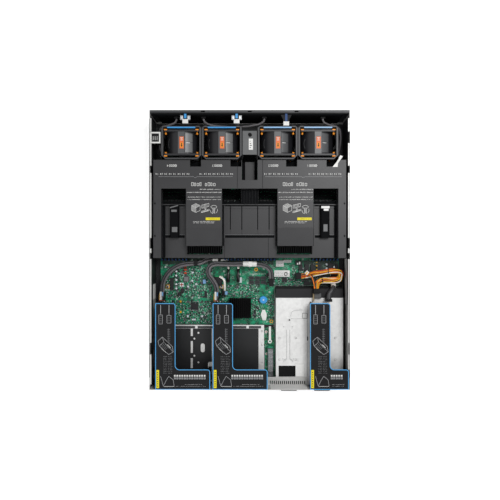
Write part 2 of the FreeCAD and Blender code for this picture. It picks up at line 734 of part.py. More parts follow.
def fan_frame():
    """Axial fan's frame about its own axis: two flanges on a barrel, a stator hub on spokes."""
    half = FAN_SIZE / 2
    y0 = -FAN_DEPTH / 2
    y1 = FAN_DEPTH / 2
    flange = box(-half, half, 0, FAN_FLANGE, -half, half)
    flange = rounded(flange, FAN_CORNER_RADIUS, lambda edge: runs_along(edge, ALONG_Y))
    barrel = rod(V(0, y0, 0), ALONG_Y, FAN_DEPTH, fan_bore + FAN_BARREL_WALL)
    pad = box(-FAN_PAD_WIDTH / 2, FAN_PAD_WIDTH / 2, y0, y1, 0, half)
    shell = fused([moved(flange, 0, y0, 0), moved(flange, 0, y1 - FAN_FLANGE, 0), barrel, pad])
    cuts = [rod(V(0, y0, 0), ALONG_Y, FAN_DEPTH, fan_bore)]
    reach = half - FAN_PIN_INSET
    for x in (-reach, reach):
        for z in (-reach, reach):
            cuts.append(rod(V(x, y0, z), ALONG_Y, FAN_DEPTH, FAN_PIN_HOLE_RADIUS))
    shell = shell.cut(Part.makeCompound(cuts))
    hub = rod(V(0, y0, 0), ALONG_Y, STATOR_DEPTH, STATOR_RADIUS)
    spoke = box(-STATOR_SPOKE_WIDTH / 2, STATOR_SPOKE_WIDTH / 2, y0, y0 + FAN_FLANGE,
                0, fan_bore + FAN_BARREL_WALL / 2)
    spokes = [turned(spoke, (index + 0.5) * 360 / STATOR_SPOKES, ALONG_Y) for index in range(STATOR_SPOKES)]
    bearing = rod(V(0, y0, 0), ALONG_Y, STATOR_DEPTH, SHAFT_RADIUS + SHAFT_FIT)
    return fused([shell, hub] + spokes).cut(bearing)


def blade_section(height, angle):
    """Four corners of a blade's section at a height above the fan's axis."""
    lean = math.radians(angle)
    along = V(math.sin(lean), math.cos(lean), 0) * (BLADE_AXIAL_LENGTH / 2 / math.cos(lean))
    across = V(math.cos(lean), -math.sin(lean), 0) * (BLADE_THICKNESS / 2)
    middle = V(0, 0, height)
    corners = [middle + along + across, middle + along - across,
               middle - along - across, middle - along + across]
    return Part.makePolygon(corners + corners[:1])


def fan_rotor():
    """Hub on its shaft with twisted blades, about the fan's own axis."""
    y0 = -FAN_DEPTH / 2 + STATOR_DEPTH + HUB_REAR_GAP
    y1 = FAN_DEPTH / 2 - HUB_FRONT_GAP
    hub = rod(V(0, y0, 0), ALONG_Y, y1 - y0, HUB_RADIUS)
    hub = hub.makeChamfer(HUB_EDGE, [edge for edge in hub.Edges if edge.BoundBox.YMin > y1 - 0.01])
    shaft = rod(V(0, y0 - SHAFT_LENGTH, 0), ALONG_Y, SHAFT_LENGTH, SHAFT_RADIUS)
    root = blade_section(BLADE_ROOT_RADIUS, BLADE_ROOT_ANGLE)
    tip = blade_section(fan_bore, BLADE_TIP_ANGLE)
    blade = moved(Part.makeLoft([root, tip], True, True), 0, (y0 + y1) / 2, 0)
    blade = blade.common(rod(V(0, y0, 0), ALONG_Y, y1 - y0, blade_reach))
    blades = [turned(blade, index * 360 / BLADE_COUNT, ALONG_Y) for index in range(BLADE_COUNT)]
    return fused([hub, shaft] + blades)


def carrier_outline(width):
    """Plan of a fan carrier: rear corners cut wide, front corners cut short."""
    x = width / 2
    y = CARRIER_DEPTH / 2
    rear_cut = rear_chamfer
    front_cut = CARRIER_FRONT_CHAMFER
    return [(-x + rear_cut, -y), (x - rear_cut, -y), (x, -y + rear_cut), (x, y - front_cut),
            (x - front_cut, y), (-x + front_cut, y), (-x, y - front_cut), (-x, -y + rear_cut)]


def fan_carrier():
    """Open frame that a fan sits in, about the fan's axis, with a rim over the cage dividers."""
    low = carrier_bottom - fan_axis_z
    high = carrier_top - fan_axis_z
    body = prism([V(x, y, low) for x, y in carrier_outline(carrier_width)], V(0, 0, high - low))
    band = prism([V(x, y, high - CARRIER_RIM_HEIGHT) for x, y in carrier_outline(rim_width)],
                 V(0, 0, CARRIER_RIM_HEIGHT))
    pocket_x = FAN_SIZE / 2 + FAN_FIT
    pocket = box(-pocket_x, pocket_x, -pocket_end, pocket_end, low + CARRIER_FLOOR, high)
    keep = [prism([V(side * pocket_x, -pocket_end, low),
                   V(side * (pocket_x - pocket_corner), -pocket_end, low),
                   V(side * pocket_x, -pocket_end + pocket_corner, low)], V(0, 0, high - low))
            for side in (-1, 1)]
    pocket = pocket.cut(Part.makeCompound(keep))
    air = rod(V(0, -CARRIER_DEPTH / 2, 0), ALONG_Y, CARRIER_DEPTH, fan_bore)
    margin = CARRIER_WINDOW_MARGIN
    window_half = FAN_DEPTH / 2 - margin
    window = box(-rim_width, rim_width, -window_half, window_half, low + margin, high - margin)
    seat = high - RELEASE_HEIGHT - SEAT_GAP
    notch_half = RELEASE_WIDTH / 2 + SIDE_FIT
    notch = box(-notch_half, notch_half, 0, CARRIER_DEPTH / 2, seat, high)
    return fused([body, band]).cut(Part.makeCompound([pocket, air, window, notch]))


def fan_release():
    """Blue bar on the carrier's front wall with its spring leg behind the wall."""
    high = carrier_top - fan_axis_z
    y1 = CARRIER_DEPTH / 2 - RELEASE_SETBACK
    half = RELEASE_WIDTH / 2
    bar = box(-half, half, y1 - RELEASE_DEPTH, y1, high - RELEASE_HEIGHT, high)
    bar = rounded(bar, RELEASE_CORNER, lambda edge: runs_along(edge, ALONG_Z))
    inside = pocket_end - SEAT_GAP
    leg = box(-RELEASE_LEG_WIDTH / 2, RELEASE_LEG_WIDTH / 2, inside - RELEASE_LEG_DEPTH, inside,
              high - RELEASE_HEIGHT - RELEASE_LEG_HEIGHT, high - RELEASE_HEIGHT)
    return fused([bar, leg])


def motherboard():
    """Main circuit board, cut away at the rear right for the power supplies."""
    outline = [(board_left, board_front), (board_right, board_front), (board_right, notch_y),
               (notch_x, notch_y), (notch_x, board_rear), (board_left, board_rear)]
    board = prism([V(x, y, board_under) for x, y in outline], V(0, 0, BOARD_THICKNESS))
    holes = [rod(V(x, y, board_under), ALONG_Z, BOARD_THICKNESS, BOARD_HOLE_RADIUS)
             for x, y in standoff_places()]
    x, y = plunger_place()
    holes.append(rod(V(x, y, board_under), ALONG_Z, BOARD_THICKNESS, PLUNGER_STEM_RADIUS + SIDE_FIT))
    return board.cut(Part.makeCompound(holes))


def cpu_sockets():
    """Processor packages, each inside its steel bolster frame."""
    solids = []
    for x in (-CPU_OFFSET, CPU_OFFSET):
        half_x = CPU_WIDTH / 2
        half_y = CPU_DEPTH / 2
        package = box(x - half_x, x + half_x, cpu_y - half_y, cpu_y + half_y,
                      board_top, board_top + CPU_HEIGHT)
        inside_x = half_x + BOLSTER_FIT
        inside_y = half_y + BOLSTER_FIT
        frame = box(x - inside_x - BOLSTER_BAND, x + inside_x + BOLSTER_BAND, cpu_y - inside_y - BOLSTER_BAND,
                    cpu_y + inside_y + BOLSTER_BAND, board_top, board_top + BOLSTER_HEIGHT)
        window = box(x - inside_x, x + inside_x, cpu_y - inside_y, cpu_y + inside_y,
                     board_top, board_top + BOLSTER_HEIGHT)
        solids += [package, frame.cut(window)]
    return Part.makeCompound(solids)


def finned_block(width, depth, base, fin_height, fins):
    """Heatsink with upright fins along Y, standing on the origin's plane."""
    comb = [(-width / 2, 0), (width / 2, 0)]
    gap = (width - fins * FIN_THICKNESS) / (fins - 1)
    x = width / 2
    for index in range(fins):
        comb += [(x, base + fin_height), (x - FIN_THICKNESS, base + fin_height)]
        x -= FIN_THICKNESS + gap
        if index < fins - 1:
            comb += [(x + gap, base), (x, base)]
    return prism([V(x, -depth / 2, z) for x, z in comb], V(0, depth, 0))


def cpu_heatsinks():
    """Tall finned heatsinks over the processors."""
    block = finned_block(HEATSINK_WIDTH, HEATSINK_DEPTH, HEATSINK_BASE, HEATSINK_FIN_HEIGHT, HEATSINK_FINS)
    return Part.makeCompound([moved(block, x, cpu_y, board_top + CPU_HEIGHT)
                              for x in (-CPU_OFFSET, CPU_OFFSET)])


def socket_lines():
    """X of every memory socket, spaced over the room beside each heatsink."""
    inner = CPU_OFFSET - HEATSINK_WIDTH / 2 - BANK_GAP
    outer = CPU_OFFSET + HEATSINK_WIDTH / 2 + BANK_GAP
    half = spread(SOCKETS_PER_BANK, 0, inner) + spread(SOCKETS_PER_BANK, outer, duct_foot_inside)
    return [-x for x in half] + half


def memory_sockets():
    """Memory sockets with a groove for the module and a tower at each end."""
    half = socket_length / 2
    width = SOCKET_WIDTH / 2
    tower = SOCKET_TOWER_LENGTH
    side = [(-half, 0), (half, 0), (half, SOCKET_TOWER_HEIGHT), (half - tower, SOCKET_TOWER_HEIGHT),
            (half - tower, SOCKET_HEIGHT), (-half + tower, SOCKET_HEIGHT),
            (-half + tower, SOCKET_TOWER_HEIGHT), (-half, SOCKET_TOWER_HEIGHT)]
    body = prism([V(-width, y, z) for y, z in side], V(SOCKET_WIDTH, 0, 0))
    groove = MODULE_THICKNESS / 2 + MODULE_FIT
    slot = box(-groove, groove, -half + tower, half - tower,
               SOCKET_HEIGHT - MODULE_DEPTH_IN_SOCKET, SOCKET_HEIGHT)
    socket = body.cut(slot)
    return Part.makeCompound([moved(socket, x, cpu_y, board_top) for x in socket_lines()])


def memory_modules():
    """Memory modules in every other socket."""
    half = MODULE_LENGTH / 2
    card = box(-MODULE_THICKNESS / 2, MODULE_THICKNESS / 2, -half, half, 0, MODULE_HEIGHT)
    return Part.makeCompound([moved(card, x, cpu_y, module_bottom) for x in socket_lines()[::2]])


def duct_plate(x):
    """Raised plate over one heatsink with its side walls, bent down towards the rear."""
    half = PLATE_WIDTH / 2
    tail = duct_top - PLATE_SLOPE
    plate = [(deck_rear, duct_under), (deck_rear, duct_top), (crease_y, duct_top), (plate_rear, tail),
             (plate_rear, tail - DUCT_WALL), (crease_y, duct_under)]
    wall = [(deck_rear, lower_under), (deck_rear, duct_under), (crease_y, duct_under),
            (plate_rear, tail - DUCT_WALL), (plate_rear, lower_under)]
    pieces = [prism([V(x - half, y, z) for y, z in plate], V(PLATE_WIDTH, 0, 0))]
    for x0 in (x - half, x + half - DUCT_WALL):
        pieces.append(prism([V(x0, y, z) for y, z in wall], V(DUCT_WALL, 0, 0)))
    return pieces


def lower_deck(x0, x1):
    """Sunken deck beside the raised plates, with a lip and two cross slots."""
    deck = box(x0, x1, duct_rear, mid_front, lower_under, lower_top)
    lip = box(x0, x1, mid_front - DUCT_WALL, mid_front, lower_top, lower_top + LIP_HEIGHT)
    inset = LOWER_SLOT_INSET
    slots = [box(x0 + inset, x1 - inset, y, y + LOWER_SLOT, lower_under, lower_top)
             for y in (mid_panel_front, mid_panel_rear - LOWER_SLOT)]
    return fused([deck, lip]).cut(Part.makeCompound(slots))


def air_duct():
    """Moulded shroud that guides the air from the fans over the processors and the memory."""
    deck = box(-duct_half, duct_half, deck_rear, duct_front, duct_under, duct_top)
    half_pocket = POCKET_WIDTH / 2
    pocket_rear = duct_front - POCKET_DEPTH
    cuts = [box(-half_pocket, half_pocket, pocket_rear, duct_front, duct_under, duct_top)]
    for x in fan_centres:
        x0 = x + FAN_WINDOW_OFFSET
        cuts.append(box(x0, x0 + FAN_WINDOW_WIDTH, duct_front - FAN_WINDOW_DEPTH, duct_front,
                        duct_under, duct_top))
    pieces = [deck.cut(Part.makeCompound(cuts))]
    plate_in = CPU_OFFSET - PLATE_WIDTH / 2
    plate_out = CPU_OFFSET + PLATE_WIDTH / 2
    for side in (-1, 1):
        low, high = sorted((side * rail_inside, side * duct_half))
        pieces.append(box(low, high, duct_rear, deck_rear, duct_under, duct_top))
        low, high = sorted((side * rail_inside, side * (rail_inside + DUCT_WALL)))
        pieces.append(box(low, high, duct_rear, deck_rear, lower_under, duct_under))
        low, high = sorted((side * duct_foot_inside, side * duct_foot_outside))
        pieces.append(box(low, high, duct_rear, duct_front, board_top + SEAT_GAP, duct_under))
        low, high = sorted((side * plate_out, side * rail_inside))
        pieces.append(lower_deck(low, high))
        low, high = sorted((side * plate_in, side * plate_out))
        pieces.append(box(low, high, duct_rear, heatsink_rear - DUCT_STRIP_GAP, lower_under, lower_top))
        pieces += duct_plate(side * CPU_OFFSET)
    centre = lower_deck(-plate_in, plate_in)
    grooves = [box(x - GROOVE_WIDTH / 2, x + GROOVE_WIDTH / 2, mid_panel_rear, mid_panel_front,
                   lower_top - GROOVE_DEPTH, lower_top)
               for x in (-GROOVES_OUT, -GROOVES_IN, GROOVES_IN, GROOVES_OUT)]
    pieces.append(centre.cut(Part.makeCompound(grooves)))
    pocket_floor = duct_top - POCKET_FLOOR_DROP
    half_floor = POCKET_FLOOR_WIDTH / 2
    pieces.append(box(-half_pocket, half_pocket, pocket_rear - DUCT_WALL, pocket_rear,
                      pocket_floor, duct_under))
    pieces.append(box(-half_floor, half_floor, pocket_rear, duct_front,
                      pocket_floor, pocket_floor + DUCT_WALL))
    half_block = RIB_BLOCK_WIDTH / 2
    block_top = duct_top - RIB_BLOCK_DROP
    pieces.append(box(-half_block, half_block, deck_rear, deck_rear + DUCT_WALL,
                      block_top - DUCT_WALL, duct_under))
    pieces.append(box(-half_block, half_block, mid_front, deck_rear, block_top - DUCT_WALL, block_top))
    for x in spread(RIB_COUNT, -half_block, half_block):
        pieces.append(box(x - RIB_WIDTH / 2, x + RIB_WIDTH / 2, mid_front, deck_rear,
                          block_top, block_top + RIB_HEIGHT))
    return fused(pieces)


def capacitor_packs():
    """Backup capacitor packs lying in the side decks of the duct."""
    packs = []
    middle = (CPU_OFFSET + PLATE_WIDTH / 2 + rail_inside) / 2
    y = (mid_panel_front + mid_panel_rear) / 2
    for x in (-middle, middle):
        pack = box(x - PACK_WIDTH / 2, x + PACK_WIDTH / 2, y - PACK_LENGTH / 2, y + PACK_LENGTH / 2,
                   lower_top, lower_top + PACK_HEIGHT)
        top = lower_top + PACK_HEIGHT - 0.01
        packs.append(rounded(pack, PACK_CORNER,
                             lambda edge: edge.BoundBox.ZMin > top and runs_along(edge, ALONG_Y)))
    return Part.makeCompound(packs)


def plunger_place():
    """Place of the blue plunger on the motherboard."""
    return PLUNGER_X, board_rear + PLUNGER_Y


def board_plunger():
    """Blue knob whose stem pins the motherboard to the tray."""
    x, y = plunger_place()
    knob_bottom = board_top + PLUNGER_BUSH_HEIGHT + SEAT_GAP
    knob = rod(V(x, y, knob_bottom), ALONG_Z, PLUNGER_KNOB_HEIGHT, PLUNGER_KNOB_RADIUS)
    knob = knob.makeChamfer(SHEET, [edge for edge in knob.Edges if edge.BoundBox.ZMin > knob_bottom + SHEET])
    stem = rod(V(x, y, board_under - PLUNGER_REACH), ALONG_Z, knob_bottom - board_under + PLUNGER_REACH,
               PLUNGER_STEM_RADIUS)
    return fused([knob, stem])


def on_board(part, across=0.0, ahead=0.0):
    """Block for a soldered part, moved across and ahead from its place on the motherboard."""
    x, y, width, depth, height = part
    x += across
    y += board_rear + ahead
    return box(x - width / 2, x + width / 2, y - depth / 2, y + depth / 2, board_top, board_top + height)


def chipset_heatsink():
    """Low finned heatsink on the chipset."""
    block = finned_block(CHIPSET_WIDTH, CHIPSET_DEPTH, CHIPSET_BASE, CHIPSET_FIN_HEIGHT, CHIPSET_FINS)
    return moved(block, CHIPSET_X, board_rear + CHIPSET_Y, board_top + CHIP_HEIGHT)


def regulators():
    """Rows of voltage regulators ahead of the memory sockets."""
    first = cpu_y + socket_length / 2 + REGULATOR_GAP - board_rear
    size = (REGULATOR_WIDTH, REGULATOR_DEPTH, REGULATOR_HEIGHT)
    return [on_board((x, first + REGULATOR_PITCH * row) + size)
            for x in REGULATOR_COLUMNS for row in range(REGULATOR_ROWS)]


def board_parts():
    """Larger components soldered to the motherboard."""
    solids = [on_board(part) for part in (CHIPSET_CHIP, MANAGEMENT_CHIP, COIL, SMALL_HEADER, BATTERY_HOLDER)]
    for step in range(CANS):
        place = V(CAN_X, board_rear + CAN_Y + CAN_PITCH * step, board_top)
        solids.append(rod(place, ALONG_Z, CAN_HEIGHT, CAN_RADIUS))
    solids += [on_board(POWER_STAGE, ahead=POWER_STAGE_PITCH * step) for step in range(POWER_STAGES)]
    for column in range(SIGNAL_PORT_COLUMNS):
        for row in range(SIGNAL_PORT_ROWS):
            solids.append(on_board(SIGNAL_PORT, SIGNAL_PORT_PITCH_X * column, SIGNAL_PORT_PITCH_Y * row))
    solids += [on_board(FUSE, FUSE_PITCH * step) for step in range(FUSES)]
    solids += regulators()
    x, y = plunger_place()
    bush = rod(V(x, y, board_top), ALONG_Z, PLUNGER_BUSH_HEIGHT, PLUNGER_BUSH_RADIUS)
    bore = rod(V(x, y, board_top), ALONG_Z, PLUNGER_BUSH_HEIGHT, PLUNGER_STEM_RADIUS + PLUNGER_STEM_FIT)
    solids.append(bush.cut(bore))
    solids.append(card_socket())
    return Part.makeCompound(solids)


def card_socket():
    """Socket that straddles the rear edge of the motherboard and takes the mezzanine card."""
    x0, x1 = card_tongue()
    low, high = card_levels()
    band = CARD_SOCKET_BAND
    y0 = board_rear - CARD_SOCKET_DEPTH
    behind = box(x0 - band, x1 + band, y0, board_rear, low - band, board_top + band)
    above = box(x0 - band, x1 + band, board_rear, board_rear + CARD_SOCKET_DEPTH, board_top, board_top + band)
    slot = box(x0 - CARD_SLOT_FIT, x1 + CARD_SLOT_FIT, y0, y0 + CARD_TONGUE_LENGTH + CARD_SLOT_FIT,
               low - CARD_SLOT_FIT, high + CARD_SLOT_FIT)
    return fused([behind, above]).cut(slot)


def card_levels():
    """Underside and top of the mezzanine card's circuit board."""
    low = floor + CARD_LIFT
    return low, low + CARD_THICKNESS


def card_front():
    """Front edge of the mezzanine card, behind its socket."""
    return board_rear - CARD_SOCKET_DEPTH - CARD_SLOT_FIT


def card_sides():
    """Left and right edge of the mezzanine card."""
    x1 = psu_cage_left - CARD_SIDE_GAP
    return x1 - CARD_WIDTH, x1


def card_tongue():
    """Left and right edge of the tongue that plugs into the motherboard."""
    x0, x1 = card_sides()
    middle = (x0 + x1) / 2
    return middle - CARD_TONGUE_WIDTH / 2, middle + CARD_TONGUE_WIDTH / 2


def lever_place():
    """Axis of the mezzanine card's lever."""
    x0, x1 = card_sides()
    return x1 - LEVER_FROM_CARD_SIDE, card_front() - LEVER_FROM_CARD_FRONT


def lever_bottom():
    """Underside of the lever, just over the shelf and its insulator."""
    return shelf_top + INSULATOR + 2 * SEAT_GAP


def network_card():
    """Mezzanine card on its spacers, with two port cages and the post of its lever."""
    x0, x1 = card_sides()
    low, high = card_levels()
    y1 = card_front()
    y0 = rear + SHEET
    board = box(x0, x1, y0, y1, low, high)
    tongue_x0, tongue_x1 = card_tongue()
    tongue = box(tongue_x0, tongue_x1, y1, y1 + CARD_TONGUE_LENGTH, low, high)
    margin = BOARD_HOLE_MARGIN
    legs = [rod(V(x, y, floor), ALONG_Z, low - floor, STANDOFF_RADIUS)
            for x in (x0 + margin, x1 - margin) for y in (y0 + margin, y1 - margin)]
    x, y = lever_place()
    shoulder = rod(V(x, y, high), ALONG_Z, lever_bottom() - SEAT_GAP - high, LEVER_SHOULDER_RADIUS)
    pin = rod(V(x, y, high), ALONG_Z, lever_bottom() + LEVER_HEIGHT - high, LEVER_PIN_RADIUS)
    return Part.makeCompound([fused([board, tongue, shoulder, pin] + legs), card_plate()] + port_cages())


def card_plate():
    """Face plate of the mezzanine card, set in the rear panel's card bay."""
    x0, x1 = card_sides()
    plate = box(x0, x1, rear, rear + SHEET, floor + CARD_PLATE_LIFT, shelf_top)
    return plate.cut(Part.makeCompound(port_windows()))


def port_windows():
    """Cut-outs of the card's face plate around its port cages."""
    low, high = card_levels()
    bottom = high - PORT_FIT
    top = high + CAGE_PORT_HEIGHT + PORT_FIT
    return [box(x0 - PORT_FIT, x1 + PORT_FIT, rear, rear + SHEET, bottom, top) for x0, x1 in cage_spans()]


def port_cages():
    """Two open-ended cages for plug-in port modules, flush with the rear panel."""
    low, high = card_levels()
    cages = []
    for x0, x1 in cage_spans():
        wall = CAGE_PORT_WALL
        end = rear + CAGE_PORT_LENGTH
        top = high + CAGE_PORT_HEIGHT
        shell = box(x0, x1, rear, end, high, top)
        bore = box(x0 + wall, x1 - wall, rear, end - wall, high + wall, top - wall)
        cages.append(shell.cut(bore))
    return cages


def cage_spans():
    """Left and right edge of each port cage."""
    x0, x1 = card_sides()
    last = x1 - CAGE_PORT_MARGIN
    ends = (last - CAGE_PORT_PITCH, last)
    return [(end - CAGE_PORT_WIDTH, end) for end in ends]


def card_lever():
    """White lever that turns on the mezzanine card's post."""
    x, y = lever_place()
    low = lever_bottom()
    eye = rod(V(x, y, low), ALONG_Z, LEVER_HEIGHT, LEVER_EYE_RADIUS)
    half = LEVER_WIDTH / 2
    arm = box(x - half, x + half, y, y + LEVER_LENGTH, low, low + LEVER_HEIGHT)
    hole = rod(V(x, y, low), ALONG_Z, LEVER_HEIGHT, LEVER_PIN_RADIUS + LEVER_PIN_FIT)
    return fused([eye, arm]).cut(hole)


def io_shelf():
    """Steel shelf under the first two risers, on a folded front leg and a folded left leg."""
    plate = box(shelf_left, shelf_right, rear + SHEET, shelf_front, shelf_top - SHEET, shelf_top)
    x0, x1 = card_sides()
    front_leg = box(shelf_left, x0 - CARD_SIDE_GAP, shelf_front - SHEET, shelf_front,
                    floor, shelf_top - SHEET)
    left_leg = box(shelf_left, shelf_left + SHEET, rear + SHEET, shelf_front, floor, shelf_top - SHEET)
    return fused([plate, front_leg, left_leg])


def shelf_insulators():
    """Black sheets on the shelf, the left one slotted and drilled."""
    y1 = shelf_front - INSULATOR_FRONT
    y0 = rear + SHEET + INSULATOR_MARGIN
    (name, first_left, first_right, z, slots), (other, second_left, second_right, z2, slots2) = RISERS[:2]
    low = shelf_top
    high = shelf_top + INSULATOR
    first = box(first_left + INSULATOR_MARGIN, first_right - INSULATOR_MARGIN / 4, y0, y1, low, high)
    second = box(second_left + INSULATOR_MARGIN, shelf_right - STRIP_WIDTH, y0, y1, low, high)
    x = first_left + INSULATOR_SLOT_X
    half = INSULATOR_SLOT_WIDTH / 2
    cuts = [box(x - half, x + half, y1 - start - length, y1 - start, low, high)
            for start, length in INSULATOR_SLOTS]
    for dx, dy in INSULATOR_HOLES:
        cuts.append(rod(V(x + dx, y1 - dy, low), ALONG_Z, INSULATOR, INSULATOR_HOLE_RADIUS))
    window_x = x + INSULATOR_WINDOW_X
    window_y = y1 - INSULATOR_WINDOW_Y
    window = box(window_x, window_x + INSULATOR_WINDOW_WIDTH,
                 window_y - INSULATOR_WINDOW_DEPTH, window_y, low, high)
    cuts.append(rounded(window, INSULATOR_WINDOW_CORNER, lambda edge: runs_along(edge, ALONG_Z)))
    return Part.makeCompound([first.cut(Part.makeCompound(cuts)), second])


def psu_cage():
    """Inverted trough over the power supplies with a middle wall, a window and pressed beads."""
    y0 = rear + SHEET
    depth = power_board_rear - y0
    x0 = psu_cage_left
    x1 = psu_cage_right
    walls = [x0, x0 + SHEET + psu_bay, x1 - SHEET]
    pieces = [box(x0, x1, y0, y0 + depth, psu_cage_under, psu_cage_top)]
    pieces += [box(x, x + SHEET, y0, y0 + depth, floor, psu_cage_under) for x in walls]
    y1 = y0 + depth
    pad_x = x0 + EMBOSS_FROM_SIDE
    pad_y = y1 - EMBOSS_FROM_FRONT
    raised = psu_cage_top + EMBOSS_HEIGHT
    pad = box(pad_x, pad_x + EMBOSS_LENGTH, pad_y - EMBOSS_WIDTH, pad_y, psu_cage_top, raised)
    pad = rounded(pad, EMBOSS_CORNER, lambda edge: runs_along(edge, ALONG_Z))
    pieces.append(pad)
    bead_y = y1 - BEAD_FROM_FRONT
    for x in (x0 + BEAD_FROM_SIDE, x0 + BEAD_FROM_SIDE + BEAD_SPACING):
        pieces.append(box(x, x + BEAD_WIDTH, bead_y - BEAD_LENGTH, bead_y, psu_cage_top, raised))
    window_x = x0 + SHEET + PSU_FIT + INLET_MARGIN
    window_y = y0 + PSU_WINDOW_REAR
    cuts = [box(window_x, window_x + PSU_WINDOW_WIDTH, window_y, window_y + PSU_WINDOW_DEPTH,
                psu_cage_under, psu_cage_top)]
    high = psu_cage_top + EMBOSS_HEIGHT
    for x, y in ((pad_x + EMBOSS_LENGTH - EMBOSS_WIDTH / 2, pad_y - EMBOSS_WIDTH / 2),
                 (pad_x - PANEL_HOLE_RADIUS * 2, pad_y - EMBOSS_WIDTH - PANEL_HOLE_RADIUS)):
        cuts.append(rod(V(x, y, psu_cage_under), ALONG_Z, high - psu_cage_under, PANEL_HOLE_RADIUS))
    return fused(pieces).cut(Part.makeCompound(cuts))


def tongue_span(x0):
    """Left and right edge of a power supply's card edge."""
    middle = x0 + PSU_WIDTH / 2
    return middle - PSU_TONGUE_WIDTH / 2, middle + PSU_TONGUE_WIDTH / 2


def power_board():
    """Cover of the power board with a socket for each power supply."""
    chamfer = POWER_COVER_CHAMFER
    top = psu_cage_top
    y0 = power_board_rear
    y1 = power_board_front
    profile = [(y0, floor), (y1, floor), (y1, top - chamfer), (y1 - chamfer, top), (y0, top)]
    cover = prism([V(psu_cage_left, y, z) for y, z in profile], V(psu_cage_right - psu_cage_left, 0, 0))
    z = psu_bottom + PSU_TONGUE_HEIGHT
    band = POWER_SOCKET_BAND
    pieces = [cover]
    cuts = []
    for x in psu_lefts:
        x0, x1 = tongue_span(x)
        near = psu_inner_end + PSU_FIT
        pieces.append(box(x0 - band, x1 + band, near, y0, z - band, z + PSU_TONGUE_THICKNESS + band))
        cuts.append(box(x0 - CARD_SLOT_FIT, x1 + CARD_SLOT_FIT, near, near + PSU_TONGUE_LENGTH,
                        z - CARD_SLOT_FIT, z + PSU_TONGUE_THICKNESS + CARD_SLOT_FIT))
    return fused(pieces).cut(Part.makeCompound(cuts))


def handle_span(x0):
    """Left and right edge of a power supply's handle."""
    return x0 + HANDLE_MARGIN, x0 + HANDLE_MARGIN + HANDLE_WIDTH


def latch_span(x0):
    """Left and right edge of a power supply's latch at rest."""
    x1 = x0 + PSU_WIDTH - LATCH_MARGIN - LATCH_FIT
    return x1 - LATCH_WIDTH, x1


def psu_case(x0):
    """Power supply's case with its card edge, inlet recess, grille slots and latch pocket."""
    x1 = x0 + PSU_WIDTH
    case = box(x0, x1, rear, psu_inner_end, psu_bottom, psu_top)
    tongue_x0, tongue_x1 = tongue_span(x0)
    z = psu_bottom + PSU_TONGUE_HEIGHT
    tongue = box(tongue_x0, tongue_x1, psu_inner_end, psu_inner_end + PSU_TONGUE_LENGTH,
                 z, z + PSU_TONGUE_THICKNESS)
    cuts = [box(x1 - INLET_MARGIN - INLET_WIDTH, x1 - INLET_MARGIN, rear, rear + INLET_DEPTH,
                psu_bottom + INLET_MARGIN, psu_bottom + INLET_MARGIN + INLET_HEIGHT)]
    for index in range(PSU_GRILLE_SLOTS):
        x = x0 + INLET_MARGIN + index * PSU_GRILLE_PITCH
        cuts.append(box(x, x + PSU_GRILLE_SLOT_WIDTH, rear, rear + PSU_GRILLE_DEPTH,
                        psu_bottom + INLET_MARGIN, psu_bottom + INLET_MARGIN + PSU_GRILLE_HEIGHT))
    latch_x0, latch_x1 = latch_span(x0)
    z0 = psu_bottom + HANDLE_BOTTOM
    cuts.append(box(latch_x0 - LATCH_TRAVEL - LATCH_FIT, latch_x1 + LATCH_FIT,
                    rear, rear + LATCH_POCKET_DEPTH,
                    z0 - LATCH_FIT, z0 + LATCH_HEIGHT + LATCH_FIT))
    return fused([case, tongue]).cut(Part.makeCompound(cuts))


def psu_handle(x0):
    """Loop handle on the power supply's rear face."""
    left_x, right_x = handle_span(x0)
    z0 = psu_bottom + HANDLE_BOTTOM
    loop = box(left_x, right_x, rear - HANDLE_REACH, rear, z0, z0 + HANDLE_HEIGHT)
    gap = box(left_x + HANDLE_BAR, right_x - HANDLE_BAR, rear - HANDLE_REACH + HANDLE_BAR, rear,
              z0, z0 + HANDLE_HEIGHT)
    loop = rounded(loop, HANDLE_CORNER,
                   lambda edge: runs_along(edge, ALONG_Z) and edge.BoundBox.YMax < rear - HANDLE_BAR)
    return loop.cut(gap)


def psu_latch(x0):
    """Sliding latch tab in its pocket beside the handle."""
    latch_x0, latch_x1 = latch_span(x0)
    z0 = psu_bottom + HANDLE_BOTTOM
    return box(latch_x0, latch_x1, rear - LATCH_REACH, rear + LATCH_POCKET_DEPTH - LATCH_FIT,
               z0, z0 + LATCH_HEIGHT)


def port_spans():
    """Left edge, right edge and height of each rear port, from the left."""
    x = RISERS[1][1] + PORT_FIRST
    spans = []
    for width, height in PORT_SHELLS:
        spans.append((x, x + width, height))
        x += width + PORT_SPACING
    return spans


def port_level():
    """Top of the small board that carries the rear ports."""
    return floor + PORT_BOARD_LIFT + PORT_BOARD_THICKNESS


def rear_ports():
    """Rear port shells on their small board, which stands on two spacer bars."""
    spans = port_spans()
    y0 = rear + SHEET
    x0 = spans[0][0]
    x1 = spans[-1][1]
    low = floor + PORT_BOARD_LIFT
    board = box(x0, x1, y0, y0 + PORT_BOARD_DEPTH, low, port_level())
    bars = [box(x, x + PORT_SPACING, y0, y0 + PORT_BOARD_DEPTH, floor, low) for x in (x0, x1 - PORT_SPACING)]
    solids = [fused([board] + bars)]
    for left_x, right_x, height in spans:
        shell = box(left_x, right_x, rear, rear + PORT_DEPTH, port_level(), port_level() + height)
        wall = PORT_WALL
        mouths = [(port_level() + wall, port_level() + height - wall)]
        if (right_x - left_x, height) == PORT_SHELLS[1]:
            middle = port_level() + height / 2
            mouths = [(mouths[0][0], middle - wall / 2), (middle + wall / 2, mouths[0][1])]
        cuts = [box(left_x + wall, right_x - wall, rear, rear + PORT_DEPTH - wall, z0, z1)
                for z0, z1 in mouths]
        solids.append(shell.cut(Part.makeCompound(cuts)))
    return Part.makeCompound(solids)


